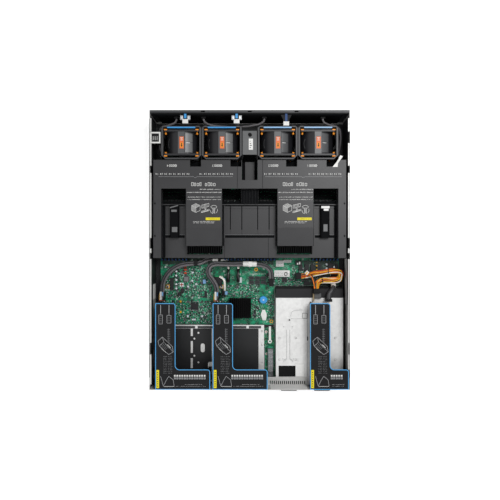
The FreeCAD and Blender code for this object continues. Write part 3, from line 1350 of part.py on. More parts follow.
def rear_panel():
    """Rear wall with open-topped riser bays, power supply bays, port windows and a vent ledge."""
    y0 = rear
    y1 = rear + SHEET
    panel = box(inner_left, inner_right, y0, y1, floor, rim)
    cuts = []
    for name, x0, x1, bottom, slots in RISERS:
        cuts.append(box(x0 - SIDE_FIT, min(x1 + SIDE_FIT, inner_right), y0, y1, bottom - SEAT_GAP, rim))
    for x in psu_lefts:
        cuts.append(box(x - SIDE_FIT, x + PSU_WIDTH + SIDE_FIT, y0, y1, floor, psu_top + SIDE_FIT))
    x0, x1 = card_sides()
    cuts.append(box(x0 - SIDE_FIT, x1 + SIDE_FIT, y0, y1, floor, shelf_top + SIDE_FIT))
    for x0, x1, height in port_spans():
        cuts.append(box(x0 - PORT_FIT, x1 + PORT_FIT, y0, y1,
                        port_level() - PORT_FIT, port_level() + height + PORT_FIT))
    first_left, first_right = RISERS[0][1:3]
    middle = (floor + shelf_top) / 2
    for x in spread(PANEL_VENT_SLOTS, first_left, first_right):
        cuts.append(box(x - PANEL_VENT_WIDTH / 2, x + PANEL_VENT_WIDTH / 2, y0, y1,
                        middle - PANEL_VENT_HEIGHT / 2, middle + PANEL_VENT_HEIGHT / 2))
    ledge_x0 = full_riser_right + SIDE_FIT + SHEET
    ledge_x1 = low_riser_left - SIDE_FIT - SHEET
    ledge = box(ledge_x0, ledge_x1, y1, y0 + LEDGE_DEPTH, psu_cage_top + EMBOSS_HEIGHT,
                psu_cage_top + EMBOSS_HEIGHT + SHEET)
    for x in spread(LEDGE_SLOTS, ledge_x0 + LEDGE_SLOT_MARGIN, ledge_x1 - LEDGE_SLOT_MARGIN):
        cuts.append(box(x - LEDGE_SLOT_WIDTH / 2, x + LEDGE_SLOT_WIDTH / 2,
                        y1 + SHEET, y1 + SHEET + LEDGE_SLOT_LENGTH,
                        psu_cage_top + EMBOSS_HEIGHT, psu_cage_top + EMBOSS_HEIGHT + SHEET))
    return fused([panel, ledge]).cut(Part.makeCompound(cuts))


def slot_levels(bottom, slots):
    """Height of the middle of each card slot of a riser."""
    return spread(slots, bottom, riser_top - SHEET)


def riser_cage(x0, x1, bottom, slots):
    """L-shaped cover with a rear slot wall, an outer side wall and studs for the riser board."""
    top = riser_top
    under = top - SHEET
    y0 = rear
    leg_x = x0 + RISER_LEG_WIDTH
    foot_y = y0 + RISER_FOOT_DEPTH
    outline = [(x0, y0), (x1, y0), (x1, foot_y), (leg_x, foot_y), (leg_x, riser_front), (x0, riser_front)]
    cover = prism([V(x, y, under) for x, y in outline], V(0, 0, SHEET))

    def at(x, y):
        return lambda edge: (runs_along(edge, ALONG_Z) and abs(edge.Vertexes[0].X - x) < 0.01
                             and abs(edge.Vertexes[0].Y - y) < 0.01)

    cover = rounded(cover, RISER_INNER_CORNER, at(leg_x, foot_y))
    cover = rounded(cover, RISER_CORNER, at(leg_x, riser_front))
    cover = rounded(cover, RISER_CORNER, at(x1, foot_y))
    wall = box(x0, x1, y0, y0 + SHEET, bottom, under)
    margin = SLOT_OPENING_MARGIN
    half = SLOT_OPENING_HEIGHT / 2
    openings = [box(x0 + margin, x1 - margin, y0, y0 + SHEET, z - half, z + half)
                for z in slot_levels(bottom, slots)]
    side_x = x0 + RISER_WALL_INSET
    side = box(side_x, side_x + SHEET, y0 + SHEET, riser_front, bottom, under)
    studs = [rod(V(side_x + SHEET, y, z), ALONG_X, RISER_STUD_LENGTH, RISER_STUD_RADIUS)
             for y, z in riser_studs(bottom)]
    return fused([cover, wall.cut(Part.makeCompound(openings)), side] + studs)


def riser_studs(bottom):
    """Places of the two studs that carry a riser board."""
    z = (bottom + riser_top) / 2
    return [(rear + RISER_BOARD_REAR_GAP + 2 * RISER_BOARD_MARGIN, z),
            (riser_front - 4 * RISER_BOARD_MARGIN, z)]


def riser_board(x0, x1, bottom, slots):
    """Upright riser board with its card slots facing the card bay."""
    face = x0 + RISER_WALL_INSET + SHEET + RISER_STUD_LENGTH
    margin = RISER_BOARD_MARGIN
    board = box(face, face + RISER_BOARD_THICKNESS, rear + RISER_BOARD_REAR_GAP, riser_front - margin,
                bottom + margin, riser_top - SHEET - margin)
    solids = [board]
    slot_x = face + RISER_BOARD_THICKNESS
    y0 = rear + RISER_BOARD_REAR_GAP + SLOT_FROM_REAR
    for z in slot_levels(bottom, slots):
        body = box(slot_x, slot_x + SLOT_HEIGHT, y0, y0 + SLOT_LENGTH, z - SLOT_WIDTH / 2, z + SLOT_WIDTH / 2)
        groove = box(slot_x + SLOT_HEIGHT - SLOT_GROOVE_DEPTH, slot_x + SLOT_HEIGHT,
                     y0 + margin, y0 + SLOT_LENGTH - margin, z - SLOT_GROOVE / 2, z + SLOT_GROOVE / 2)
        solids.append(body.cut(groove))
    return Part.makeCompound(solids)


def slot_blanks(x0, x1, bottom, slots):
    """Blank plates behind the unused card slots."""
    margin = SLOT_OPENING_MARGIN - BLANK_OVERLAP
    half = SLOT_OPENING_HEIGHT / 2 + BLANK_OVERLAP
    y0 = rear + SHEET
    return Part.makeCompound([box(x0 + margin, x1 - margin, y0, y0 + BLANK_THICKNESS, z - half, z + half)
                              for z in slot_levels(bottom, slots)])


def tube(route, radius):
    """Cable along straight runs joined by tangent arcs as large as the runs allow."""
    places = [V(*point) for point in placed(route)]
    edges = []
    start = places[0]
    for before, corner, after in zip(places, places[1:], places[2:]):
        into = corner - before
        out = after - corner
        trim = 0.45 * min(into.Length, out.Length)
        into.normalize()
        out.normalize()
        turn = math.acos(max(-1, min(1, into * out)))
        bend = trim / math.tan(turn / 2)
        arc_start = corner - into * trim
        arc_end = corner + out * trim
        inward = (out - into).normalize()
        centre = corner + inward * math.hypot(bend, trim)
        middle = centre - inward * bend
        edges.append(Part.LineSegment(start, arc_start).toShape())
        edges.append(Part.Arc(arc_start, middle, arc_end).toShape())
        print("bend radius", round(bend, 1), "of a cable of radius", radius)
        start = arc_end
    edges.append(Part.LineSegment(start, places[-1]).toShape())
    path = Part.Wire(edges)
    first = places[1] - places[0]
    section = Part.Wire([Part.makeCircle(radius, places[0], first)])
    return path.makePipeShell([section], True, False)


def mirrored(route):
    """Route on the other side of the chassis."""
    return tuple((-x, y, z) for x, y, z in route)


def placed(route):
    """Route in the chassis frame."""
    return [(x, rear + y, z) for x, y, z in route]


def lead_route(lead_x):
    """Short lead between two headers on the motherboard."""
    return [(lead_x + x, y, z) for x, y, z in LEAD_ROUTE]


def ribbon(x):
    """Flat cable over the top edge of the backplane and down its front face."""
    low = rim - BACKPLANE_TOP_DROP
    half = RIBBON_WIDTH / 2
    y0 = front - BACKPLANE_SETBACK - BACKPLANE_THICKNESS - HEADER_DEPTH
    y1 = front - BACKPLANE_SETBACK + RIBBON_THICKNESS
    flat = box(x - half, x + half, y0, y1, low, low + RIBBON_THICKNESS)
    drop = box(x - half, x + half, y1 - RIBBON_THICKNESS, y1, low - BACKPLANE_SLOT_HEIGHT, low)
    return fused([flat, drop])


def cable_looms():
    """Black sleeved cables, thin leads and blue ribbons, each from plug to plug."""
    solids = [tube(RISER_1_ROUTE, SLEEVE_RADIUS), tube(RISER_2_ROUTE, SLEEVE_RADIUS)]
    solids += [tube(lead_route(x), LEAD_RADIUS) for x in LEAD_X]
    solids += [tube(FRONT_LEFT_ROUTE, LEAD_RADIUS), tube(mirrored(FRONT_LEFT_ROUTE), LEAD_RADIUS)]
    solids += [tube(FRONT_JUMPER_ROUTE, LEAD_RADIUS), tube(THICK_SLEEVE_ROUTE, THICK_SLEEVE_RADIUS)]
    solids += [ribbon(x) for x in HEADER_X]
    return Part.makeCompound(solids)


def plug_at(place, ahead, beside, bottom, top):
    """Plug whose face a cable enters: its reach along Y from the place, its half width and its heights."""
    x, y, z = place
    y0, y1 = sorted((y, y + ahead))
    return box(x - beside, x + beside, y0, y1, bottom, top)


def ribbon_header(x):
    """Eared header on the backplane with the plug of a ribbon in it."""
    face = front - BACKPLANE_SETBACK - BACKPLANE_THICKNESS
    top = rim - BACKPLANE_TOP_DROP
    half = HEADER_WIDTH / 2
    header = box(x - half, x + half, face - HEADER_DEPTH, face, top - HEADER_DEPTH, top)
    ears = [prism([V(x + side * half, face, top), V(x + side * (half + HEADER_EAR), face, top),
                   V(x + side * half, face - HEADER_DEPTH, top)], V(0, 0, -HEADER_DEPTH)) for side in (-1, 1)]
    plug = box(x - half + SHEET, x + half - SHEET, face - 2 * HEADER_DEPTH, face - HEADER_DEPTH,
               top - HEADER_DEPTH, top + SHEET)
    return [fused([header] + ears), plug]


def cable_plugs():
    """Plugs and headers at the ends of the cables."""
    face = front - BACKPLANE_SETBACK - BACKPLANE_THICKNESS
    solids = []
    for x in HEADER_X:
        solids += ribbon_header(x)
    front_left = placed(FRONT_LEFT_ROUTE)
    front_right = mirrored(front_left)
    jumper = placed(FRONT_JUMPER_ROUTE)
    riser_1 = placed(RISER_1_ROUTE)
    riser_2 = placed(RISER_2_ROUTE)
    thick = placed(THICK_SLEEVE_ROUTE)
    harness = placed(HARNESS_ROUTE)
    for place in (front_left[0], front_right[0], jumper[0], jumper[-1]):
        solids.append(plug_at(place, face - place[1], PLUG_HALF, place[2] - PLUG_RISE, place[2] + PLUG_RISE))
    for place in (front_left[-1], front_right[-1]):
        solids.append(plug_at(place, -SHORT_PLUG, LEAD_RADIUS + SHEET, board_top, place[2] + PLUG_RISE))
    for place in (riser_1[0], riser_2[0], riser_2[-1]):
        solids.append(plug_at(place, -LONG_PLUG, PLUG_HALF, board_top, place[2] + PLUG_RISE))
    for x in LEAD_X:
        near, *between, far = placed(lead_route(x))
        solids.append(plug_at(near, SHORT_PLUG, LEAD_RADIUS + SHEET, board_top, near[2] + PLUG_RISE))
        solids.append(plug_at(far, -LONG_PLUG, LEAD_RADIUS + SHEET, board_top, far[2] + PLUG_RISE))
    x, y, z = riser_1[-1]
    solids.append(box(x, x + LONG_PLUG, y - PLUG_HALF, y + PLUG_HALF, board_top, z + PLUG_RISE))
    x, y, z = harness[0]
    solids.append(box(x - SHORT_PLUG, x, y - POWER_PLUG_HALF, y + POWER_PLUG_HALF, board_top, z + PLUG_RISE))
    x, y, z = thick[0]
    half = POWER_PLUG_HALF
    solids.append(box(x - half, x + half, y - half, y + half, board_top, z))
    solids.append(plug_at(thick[-1], -PLUG_RISE, half, psu_cage_top, thick[-1][2] + PLUG_RISE))
    solids.append(plug_at(harness[-1], -SHORT_PLUG, half, psu_cage_top, harness[-1][2] + PLUG_RISE))
    return Part.makeCompound(solids)


def cable_clips():
    """Closed clips that hold the riser cables to the motherboard, halfway along a straight run."""
    clips = []
    for route, index in ((RISER_1_ROUTE, 5), (RISER_2_ROUTE, 7)):
        start, end = placed(route)[index:index + 2]
        middle = (V(*start) + V(*end)) * 0.5
        half = CLIP_LENGTH / 2
        bore_radius = SLEEVE_RADIUS + CLIP_FIT
        reach = bore_radius + CLIP_WALL
        clip = box(middle.x - half, middle.x + half, middle.y - reach, middle.y + reach,
                   board_top, middle.z + reach)
        bore = rod(V(middle.x - half, middle.y, middle.z), ALONG_X, CLIP_LENGTH, bore_radius)
        clips.append(clip.cut(bore))
    return Part.makeCompound(clips)


def build():
    """Make every node."""
    os.makedirs("parts", exist_ok=True)
    save("chassis_tray", chassis_tray())
    save("front_bulkhead", front_bulkhead())
    save("drive_backplane", drive_backplane())
    save("fan_cage", fan_cage())
    save("fan_bridge", fan_bridge())
    save("cable_grommet", cable_grommet())
    fan_pieces = {"carrier": fan_carrier(), "frame": fan_frame(), "rotor": fan_rotor(),
                  "release": fan_release()}
    for index, x in enumerate(fan_centres, start=1):
        for piece, shape in fan_pieces.items():
            save("fan_%d_%s" % (index, piece), moved(shape, x, fan_y, fan_axis_z))
    save("motherboard", motherboard())
    save("cpu_sockets", cpu_sockets())
    save("cpu_heatsinks", cpu_heatsinks())
    save("memory_sockets", memory_sockets())
    save("memory_modules", memory_modules())
    save("chipset_heatsink", chipset_heatsink())
    save("board_parts", board_parts())
    save("board_plunger", board_plunger())
    save("air_duct", air_duct())
    save("capacitor_packs", capacitor_packs())
    save("io_shelf", io_shelf())
    save("shelf_insulators", shelf_insulators())
    save("network_card", network_card())
    save("card_lever", card_lever())
    save("psu_cage", psu_cage())
    save("power_board", power_board())
    for index, x in enumerate(psu_lefts, start=1):
        save("psu_%d_case" % index, psu_case(x))
        save("psu_%d_handle" % index, psu_handle(x))
        save("psu_%d_latch" % index, psu_latch(x))
    save("rear_ports", rear_ports())
    save("rear_panel", rear_panel())
    for name, x0, x1, bottom, slots in RISERS:
        save(name + "_cage", riser_cage(x0, x1, bottom, slots))
        save(name + "_board", riser_board(x0, x1, bottom, slots))
        save(name + "_blanks", slot_blanks(x0, x1, bottom, slots))
    save("cable_looms", cable_looms())
    save("wire_harness", tube(HARNESS_ROUTE, HARNESS_RADIUS))
    save("cable_plugs", cable_plugs())
    save("cable_clips", cable_clips())


build()
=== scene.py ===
import math
import random

import bmesh
import bpy
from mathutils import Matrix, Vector


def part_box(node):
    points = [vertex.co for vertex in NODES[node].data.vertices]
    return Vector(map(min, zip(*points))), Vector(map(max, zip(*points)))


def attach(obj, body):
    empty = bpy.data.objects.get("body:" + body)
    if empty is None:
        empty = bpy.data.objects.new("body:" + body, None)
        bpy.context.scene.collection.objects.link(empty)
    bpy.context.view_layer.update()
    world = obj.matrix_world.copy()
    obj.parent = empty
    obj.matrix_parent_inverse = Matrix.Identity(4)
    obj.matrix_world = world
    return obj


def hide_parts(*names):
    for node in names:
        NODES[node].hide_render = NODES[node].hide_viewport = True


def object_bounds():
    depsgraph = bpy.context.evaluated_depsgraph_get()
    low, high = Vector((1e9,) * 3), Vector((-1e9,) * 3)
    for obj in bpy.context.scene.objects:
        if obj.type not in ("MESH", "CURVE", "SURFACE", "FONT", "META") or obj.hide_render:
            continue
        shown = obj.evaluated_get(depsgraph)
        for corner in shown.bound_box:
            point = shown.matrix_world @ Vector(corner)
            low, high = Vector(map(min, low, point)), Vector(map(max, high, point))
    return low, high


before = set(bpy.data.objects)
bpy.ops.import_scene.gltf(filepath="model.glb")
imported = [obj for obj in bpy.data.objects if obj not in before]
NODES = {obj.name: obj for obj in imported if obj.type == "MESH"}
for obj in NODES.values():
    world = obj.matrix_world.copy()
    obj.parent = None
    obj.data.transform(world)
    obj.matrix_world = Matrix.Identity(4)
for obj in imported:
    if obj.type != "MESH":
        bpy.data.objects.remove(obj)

bl_info = {
    "name": "Rack Server Visual",
    "version": (1, 0, 0),
    "blender": (4, 5, 0),
    "location": "View3D > Sidebar > Rack Server",
    "description": "Finishes, prints, cables and small parts over the packed rack server",
    "category": "Object",
}

MM = 0.001
CAD_LOW, CAD_HIGH = [list(corner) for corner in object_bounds()]
MATERIALS = {}


def span(node):
    """Edges of a CAD node at rest in millimetres: x0, x1, y0, y1, z0, z1."""
    low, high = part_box(node)
    return [value / MM for pair in zip(low, high) for value in pair]


def linear(code):
    """Linear colour of a hex sRGB code."""
    values = [int(code[place:place + 2], 16) / 255 for place in (1, 3, 5)]
    return tuple(v / 12.92 if v <= 0.04045 else ((v + 0.055) / 1.055) ** 2.4 for v in values)


def colour(name, description, code):
    """Colour property with a hex sRGB default."""
    return bpy.props.FloatVectorProperty(name=name, description=description, subtype="COLOR", size=3,
                                         min=0, max=1, default=linear(code))


def length(name, description, millimetres):
    """Length property with a default in millimetres."""
    return bpy.props.FloatProperty(name=name, description=description, subtype="DISTANCE", unit="LENGTH",
                                   min=0, precision=5, default=millimetres * MM)


class ServerColours(bpy.types.PropertyGroup):
    """Colours that a user would change."""
    sheet: colour("Sheet metal", "Cages, shelf and rear panel", "#cfcfce")
    tray: colour("Tray", "Folded tray and its flanges", "#bdbdbb")
    duct: colour("Air duct", "Moulded air duct", "#242426")
    carrier: colour("Fan carriers", "Moulded fan carriers", "#3a3a3c")
    fan: colour("Fan frames", "Moulded fan frames", "#1d1d20")
    film: colour("Riser film", "Printed film on the riser covers", "#0e0e10")
    border: colour("Film border", "Line round each riser cover", "#58b0ee")
    touch: colour("Touch points", "Release bars, latches and plunger", "#3c97d8")
    rubber: colour("Isolators", "Rubber pins of the fans", "#f2952b")
    board: colour("Board", "Solder mask of the boards", "#0a8860")
    sleeve: colour("Cable sleeve", "Woven sleeves of the cables", "#232325")


class ServerSizes(bpy.types.PropertyGroup):
    """Sizes that a user would change."""
    print_lift: length("Print lift", "Height of a print above its surface", 0.12)
    label_lift: length("Label thickness", "Thickness of a stuck label", 0.2)
    border_width: length("Border width", "Width of the line round a riser cover", 1.5)
    screw_radius: length("Screw radius", "Head radius of the board screws", 2.6)
    sleeve_radius: length("Sleeve radius", "Radius of one strand of the riser cables", 2.9)
    wire_radius: length("Wire radius", "Radius of one wire of the harness", 1.15)
    part_spacing: length("Part spacing", "Least distance between small board parts", 2.7)


def settings():
    """Colours and sizes of the scene."""
    return bpy.context.scene.server_colours, bpy.context.scene.server_sizes


def add(tree, kind, inputs=None, **attributes):
    """New node with its attributes, constants and links set."""
    node = tree.nodes.new(kind)
    for key, value in attributes.items():
        setattr(node, key, value)
    for key, value in (inputs or {}).items():
        if isinstance(value, bpy.types.NodeSocket):
            tree.links.new(value, node.inputs[key])
        else:
            node.inputs[key].default_value = value
    return node


def shade(tint, factor=1.0):
    """Linear colour with full alpha, made lighter or darker."""
    return tuple(min(1.0, part * factor) for part in tint[:3]) + (1.0,)


def blank(name):
    """New material with an empty tree."""
    material = bpy.data.materials.new(name)
    material.use_nodes = True
    material.node_tree.nodes.clear()
    MATERIALS[name] = material
    return material.node_tree


def close(tree, inputs):
    """Surface with its inputs, joined to the output."""
    surface = add(tree, "ShaderNodeBsdfPrincipled", inputs)
    add(tree, "ShaderNodeOutputMaterial", {"Surface": surface.outputs[0]})


# Real sizes of the materials' patterns, in millimetres
FLOW_MARK = 40
INK_CLOUD = 3
COPPER_AREA = 11
TRACK_PITCH = 1.7
TRACK_WIDTH = 0.2
TRACK_RUNS = (14.0, 10.0)
TRACK_PATCH = 9
HOLE_PITCH = 3.4
OUTLINE_PITCH = 7
BRAID_REPEAT = 3
BRAID_STRANDS = 5


def every(size):
    """Pattern scale for a real size in millimetres."""
    return 1 / (size * MM)


def moulded(name, tint, roughness=0.5, specular=0.3, grain=1.8, edge=0.4):
    """Moulded part: eroded grain, faint flow marks and soft edges that catch the light."""
    tree = blank(name)
    point = add(tree, "ShaderNodeTexCoord").outputs["Object"]
    # The real grain is about 0.2 mm and is drawn coarser so that it shows
    grit = add(tree, "ShaderNodeTexNoise", {"Vector": point, "Scale": every(grain), "Detail": 2.0}).outputs[0]
    flow = add(tree, "ShaderNodeTexNoise", {"Vector": point, "Scale": every(FLOW_MARK), "Detail": 1.0})
    both = add(tree, "ShaderNodeMath", {0: grit, 1: flow.outputs[0]}, operation="ADD").outputs[0]
    level = add(tree, "ShaderNodeMapRange", {0: both, 1: 0.6, 2: 1.4}).outputs[0]
    base = add(tree, "ShaderNodeMix", {0: level, 6: shade(tint, 0.82), 7: shade(tint, 1.18)},
               data_type="RGBA")
    gloss = add(tree, "ShaderNodeMapRange", {0: grit, 3: roughness - 0.08, 4: roughness + 0.08})
    soft = add(tree, "ShaderNodeBevel", {"Radius": edge * MM}, samples=3)
    bump = add(tree, "ShaderNodeBump", {"Strength": 0.2, "Distance": 0.1 * MM, "Height": grit,
                                        "Normal": soft.outputs[0]})
    close(tree, {"Base Color": base.outputs[2], "Roughness": gloss.outputs[0], "Normal": bump.outputs[0],
                 "Specular IOR Level": specular})


def plated(name, tint, roughness=0.4, metallic=0.6, cell=5.0, edge=0.25, specular=0.5):
    """Plated metal: crystals of the plating that differ a little in shade and gloss."""
    tree = blank(name)
    point = add(tree, "ShaderNodeTexCoord").outputs["Object"]
    crystals = add(tree, "ShaderNodeTexVoronoi", {"Vector": point, "Scale": every(cell)})
    grey = add(tree, "ShaderNodeRGBToBW", {0: crystals.outputs["Color"]}).outputs[0]
    base = add(tree, "ShaderNodeMix", {0: grey, 6: shade(tint, 0.93), 7: shade(tint, 1.05)}, data_type="RGBA")
    gloss = add(tree, "ShaderNodeMapRange", {0: grey, 3: roughness - 0.06, 4: roughness + 0.06})
    soft = add(tree, "ShaderNodeBevel", {"Radius": edge * MM}, samples=3)
    close(tree, {"Base Color": base.outputs[2], "Roughness": gloss.outputs[0], "Metallic": metallic,
                 "Specular IOR Level": specular, "Normal": soft.outputs[0]})


def ink(name, tint, roughness=0.5, specular=0.3):
    """Printed or stuck film: a thin even layer, a little thinner in places."""
    tree = blank(name)
    point = add(tree, "ShaderNodeTexCoord").outputs["Object"]
    cloud = add(tree, "ShaderNodeTexNoise", {"Vector": point, "Scale": every(INK_CLOUD), "Detail": 2.0})
    cover = cloud.outputs[0]
    base = add(tree, "ShaderNodeMix", {0: cover, 6: shade(tint, 0.86), 7: shade(tint, 1.1)}, data_type="RGBA")
    gloss = add(tree, "ShaderNodeMapRange", {0: cover, 3: roughness - 0.08, 4: roughness + 0.08})
    close(tree, {"Base Color": base.outputs[2], "Roughness": gloss.outputs[0],
                 "Specular IOR Level": specular})


def solder_mask(name, tint):
    """Glass-epoxy board under a green lacquer: copper lines and areas, tinned holes, white outlines."""
    tree = blank(name)
    point = add(tree, "ShaderNodeTexCoord").outputs["Object"]
    areas = add(tree, "ShaderNodeTexNoise", {"Vector": point, "Scale": every(COPPER_AREA), "Detail": 2.0})
    copper = add(tree, "ShaderNodeMapRange", {0: areas.outputs[0], 1: 0.42, 2: 0.58}).outputs[0]
    base = add(tree, "ShaderNodeMix", {0: copper, 6: shade(tint, 0.24), 7: shade(tint, 0.9)},
               data_type="RGBA").outputs[2]
    for turn, run in zip((0.0, math.pi / 2), TRACK_RUNS):
        turned = add(tree, "ShaderNodeMapping", {"Vector": point, "Rotation": (0, 0, turn)}).outputs[0]
        lines = add(tree, "ShaderNodeTexBrick",
                    {"Vector": turned, "Scale": every(1), "Mortar Size": TRACK_WIDTH, "Brick Width": run,
                     "Row Height": TRACK_PITCH})
        patches = add(tree, "ShaderNodeTexNoise", {"Vector": turned, "Scale": every(TRACK_PATCH)})
        some = add(tree, "ShaderNodeMapRange", {0: patches.outputs[0], 1: 0.5, 2: 0.56, 4: 0.4}).outputs[0]
        drawn = add(tree, "ShaderNodeMath", {0: lines.outputs["Fac"], 1: some}, operation="MULTIPLY")
        base = add(tree, "ShaderNodeMix", {0: drawn.outputs[0], 6: base, 7: shade(tint, 3.0)},
                   data_type="RGBA").outputs[2]
    holes = add(tree, "ShaderNodeTexVoronoi", {"Vector": point, "Scale": every(HOLE_PITCH)})
    tinned = add(tree, "ShaderNodeMapRange", {0: holes.outputs["Distance"], 1: 0.17, 2: 0.13, 4: 0.7})
    base = add(tree, "ShaderNodeMix", {0: tinned.outputs[0], 6: base, 7: shade(linear("#a9b3ab"))},
               data_type="RGBA").outputs[2]
    # Square cells give the outlines that are printed round the parts
    cells = add(tree, "ShaderNodeTexVoronoi", {"Vector": point, "Scale": every(OUTLINE_PITCH)},
                distance="CHEBYCHEV")
    inside = add(tree, "ShaderNodeMath", {0: cells.outputs["Distance"], 1: 0.3, 2: 0.035},
                 operation="COMPARE")
    chosen = add(tree, "ShaderNodeRGBToBW", {0: cells.outputs["Color"]}).outputs[0]
    some = add(tree, "ShaderNodeMath", {0: chosen, 1: 0.5}, operation="GREATER_THAN").outputs[0]
    drawn = add(tree, "ShaderNodeMath", {0: inside.outputs[0], 1: some}, operation="MULTIPLY")
    base = add(tree, "ShaderNodeMix", {0: drawn.outputs[0], 6: base, 7: shade(linear("#9fb8ab"))},
               data_type="RGBA").outputs[2]
    close(tree, {"Base Color": base, "Roughness": 0.42, "Specular IOR Level": 0.35})


def woven(name, tint):
    """Braided polyester sleeve: crossing strands with a bump, their tops painted lighter as a painted
    highlight and the gaps between them darker as painted shade.
    """
    tree = blank(name)
    run = add(tree, "ShaderNodeAttribute", attribute_name="run").outputs["Fac"]
    turn = add(tree, "ShaderNodeAttribute", attribute_name="turn").outputs["Fac"]
    repeat = 2 * math.pi * every(BRAID_REPEAT)
    along = add(tree, "ShaderNodeMath", {0: run, 1: repeat}, operation="MULTIPLY").outputs[0]
    waves = []
    for strands in (BRAID_STRANDS, -BRAID_STRANDS):
        about = add(tree, "ShaderNodeMath", {0: turn, 1: strands * 2 * math.pi, 2: along},
                    operation="MULTIPLY_ADD")
        waves.append(add(tree, "ShaderNodeMath", {0: about.outputs[0]}, operation="SINE").outputs[0])
    weave = add(tree, "ShaderNodeMath", {0: waves[0], 1: waves[1]}, operation="MULTIPLY").outputs[0]
    height = add(tree, "ShaderNodeMapRange", {0: weave, 1: -1.0, 2: 1.0}).outputs[0]
    # Painted highlight on the strands' tops and painted shade between them
    base = add(tree, "ShaderNodeMix", {0: height, 6: shade(tint, 0.5), 7: shade(tint, 3.2)}, data_type="RGBA")
    bump = add(tree, "ShaderNodeBump", {"Strength": 0.6, "Distance": 0.4 * MM, "Height": height})
    close(tree, {"Base Color": base.outputs[2], "Roughness": 0.42, "Normal": bump.outputs[0]})


def sheet_metals():
    """Plated and bare metals."""
    c = settings()[0]
    # Zinc-plated steel sheet: pale satin grey with faint crystals
    plated("zinc_plated_steel", c.sheet, roughness=0.42, metallic=0.5)
    # Bright pre-galvanised steel of the tray: light grey, brightest along its flanges
    plated("galvanised_steel", c.tray, roughness=0.45, metallic=0.35)
    # Dark passivated steel of the bulkhead: the same sheet under a grey film. The same dark grey on the
    # shelf's lip is painted shade
    plated("passivated_steel", linear("#343537"), roughness=0.5, metallic=0.2, edge=0.05)
    # Tin-plated steel of port shells and pads: bright and smooth
    plated("tin_plate", linear("#c2c4c6"), roughness=0.3, metallic=0.8, cell=2.0)
    # Hard gold over nickel on contact fingers and grounding rings: warm and glossy
    plated("gold_plate", linear("#b98a3a"), roughness=0.3, metallic=0.85, cell=2.0)
    # Nickel-plated steel of the processor frames: darker and mirror-like
    plated("nickel_plate", linear("#9a9b9d"), roughness=0.28, metallic=0.9, cell=8.0)
    # Aluminium of the fins, nearly black with a dull metal sheen: black anodised on the chipset, and painted
    # shade on the processor fins under the duct
    plated("anodised_and_shaded_aluminium", linear("#09090a"), roughness=0.5, metallic=0.2, cell=1.5, edge=0.1,
           specular=0.1)


def plastics():
    """Moulded and extruded plastics, rubber, foam and films."""
    c = settings()[0]
    # Flame-retardant ABS of the duct: matt charcoal with an eroded grain
    moulded("duct_abs", c.duct, roughness=0.44, specular=0.38, edge=0.6)
    # Soot black, dull foam: the capacitor packs' own black, dark joints and dots, and painted shade behind
    # the duct's ribs, in its slots and windows, beside its plates and rails, between the rows of memory, on
    # the drive backplane and on the supply cage
    moulded("closing_foam", linear("#08090b"), roughness=0.8, specular=0.08, grain=1.2, edge=0.2)
    # Polycarbonate of the fan carriers: charcoal, with rounded edges that catch the light
    moulded("carrier_polycarbonate", c.carrier, roughness=0.45, specular=0.35, grain=1.6, edge=0.7)
    # Glass-filled polyester of the fan frames: black with a satin sheen
    moulded("fan_polyester", c.fan, roughness=0.42, grain=1.4, edge=0.5)
    # The same polyester on the rotors: deeper black
    moulded("rotor_polyester", linear("#141416"), roughness=0.38, grain=1.4)
    # Black nylon of plugs, sockets and covers: dull
    moulded("black_nylon", linear("#0d0d0f"), specular=0.14, grain=1.2, edge=0.3)
    # Grey nylon of the fan bridge: matt
    moulded("grey_nylon", linear("#626364"), grain=1.6, edge=0.5)
    # Charcoal nylon of the power cover: matt and darker
    moulded("charcoal_nylon", linear("#1c1c1e"), specular=0.2, grain=1.6, edge=0.5)
    # Blue acetal of touch points and latches: smooth and evenly coloured
    moulded("blue_acetal", c.touch, roughness=0.35, specular=0.4, grain=3.0)
    # The same acetal, paler, on plug tabs; on two release bars the paler colour is a painted sheen
    moulded("pale_blue_acetal", linear("#7fb0dc"), roughness=0.35, specular=0.4, grain=3.0)
    # Deep blue nylon of the memory latches: satin
    moulded("deep_blue_nylon", linear("#1b3f70"), roughness=0.45, specular=0.25, grain=1.5)
    # Green nylon of a board connector: satin
    moulded("green_nylon", linear("#1f9e5a"), roughness=0.45, grain=1.5)
    # White nylon of levers, headers and rings: satin, slightly waxy
    moulded("white_nylon", linear("#e9e9e6"), roughness=0.45, specular=0.35, grain=2.5)
    # Silicone rubber of the isolator pins: waxy orange
    moulded("orange_silicone", c.rubber, grain=1.5)
    # Polypropylene film under the risers: black, slightly rippled. The same black on the tray's walls, front
    # floor and cut edges is painted shade
    moulded("black_polypropylene", linear("#17181a"), roughness=0.48, specular=0.28, grain=9.0, edge=0.1)
    # Polycarbonate film on the riser covers: fine matt black
    moulded("riser_film", c.film, specular=0.15, grain=1.2, edge=0.5)


def prints():
    """Inks and stickers."""
    c = settings()[0]
    # Screen inks: white and grey on dark plastic, blue round the covers, black on stickers
    ink("white_ink", linear("#e2e2e0"))
    ink("grey_ink", linear("#a8a9ab"))
    ink("faint_ink", linear("#727375"))
    ink("blue_ink", c.border)
    ink("black_ink", linear("#0d0d0e"))
    # Paper and vinyl stickers: white, warm orange and yellow with a low gloss, grey and slate with more. The
    # white also serves as painted light on the tray's walls and inside the rear wall, and the slate as a
    # painted highlight on an edge of the duct's deck
    ink("white_sticker", linear("#f0f0ee"), roughness=0.45)
    ink("orange_sticker", linear("#e8743c"), roughness=0.45)
    ink("yellow_sticker", linear("#f2e01c"), roughness=0.45)
    ink("grey_sticker", linear("#6b6c6d"), roughness=0.4, specular=0.4)
    ink("slate_sticker", linear("#4e4f51"), roughness=0.4, specular=0.4)
    # Painted shade along creases and pressed edges of the cage, beside the third riser and round a sticker: a
    # tone below the sheet round them
    ink("crease_shade", linear("#9b9c9d"))
    # Smoked window over the supply's label: black and shiny
    ink("smoked_window", linear("#060607"), roughness=0.2, specular=0.12)


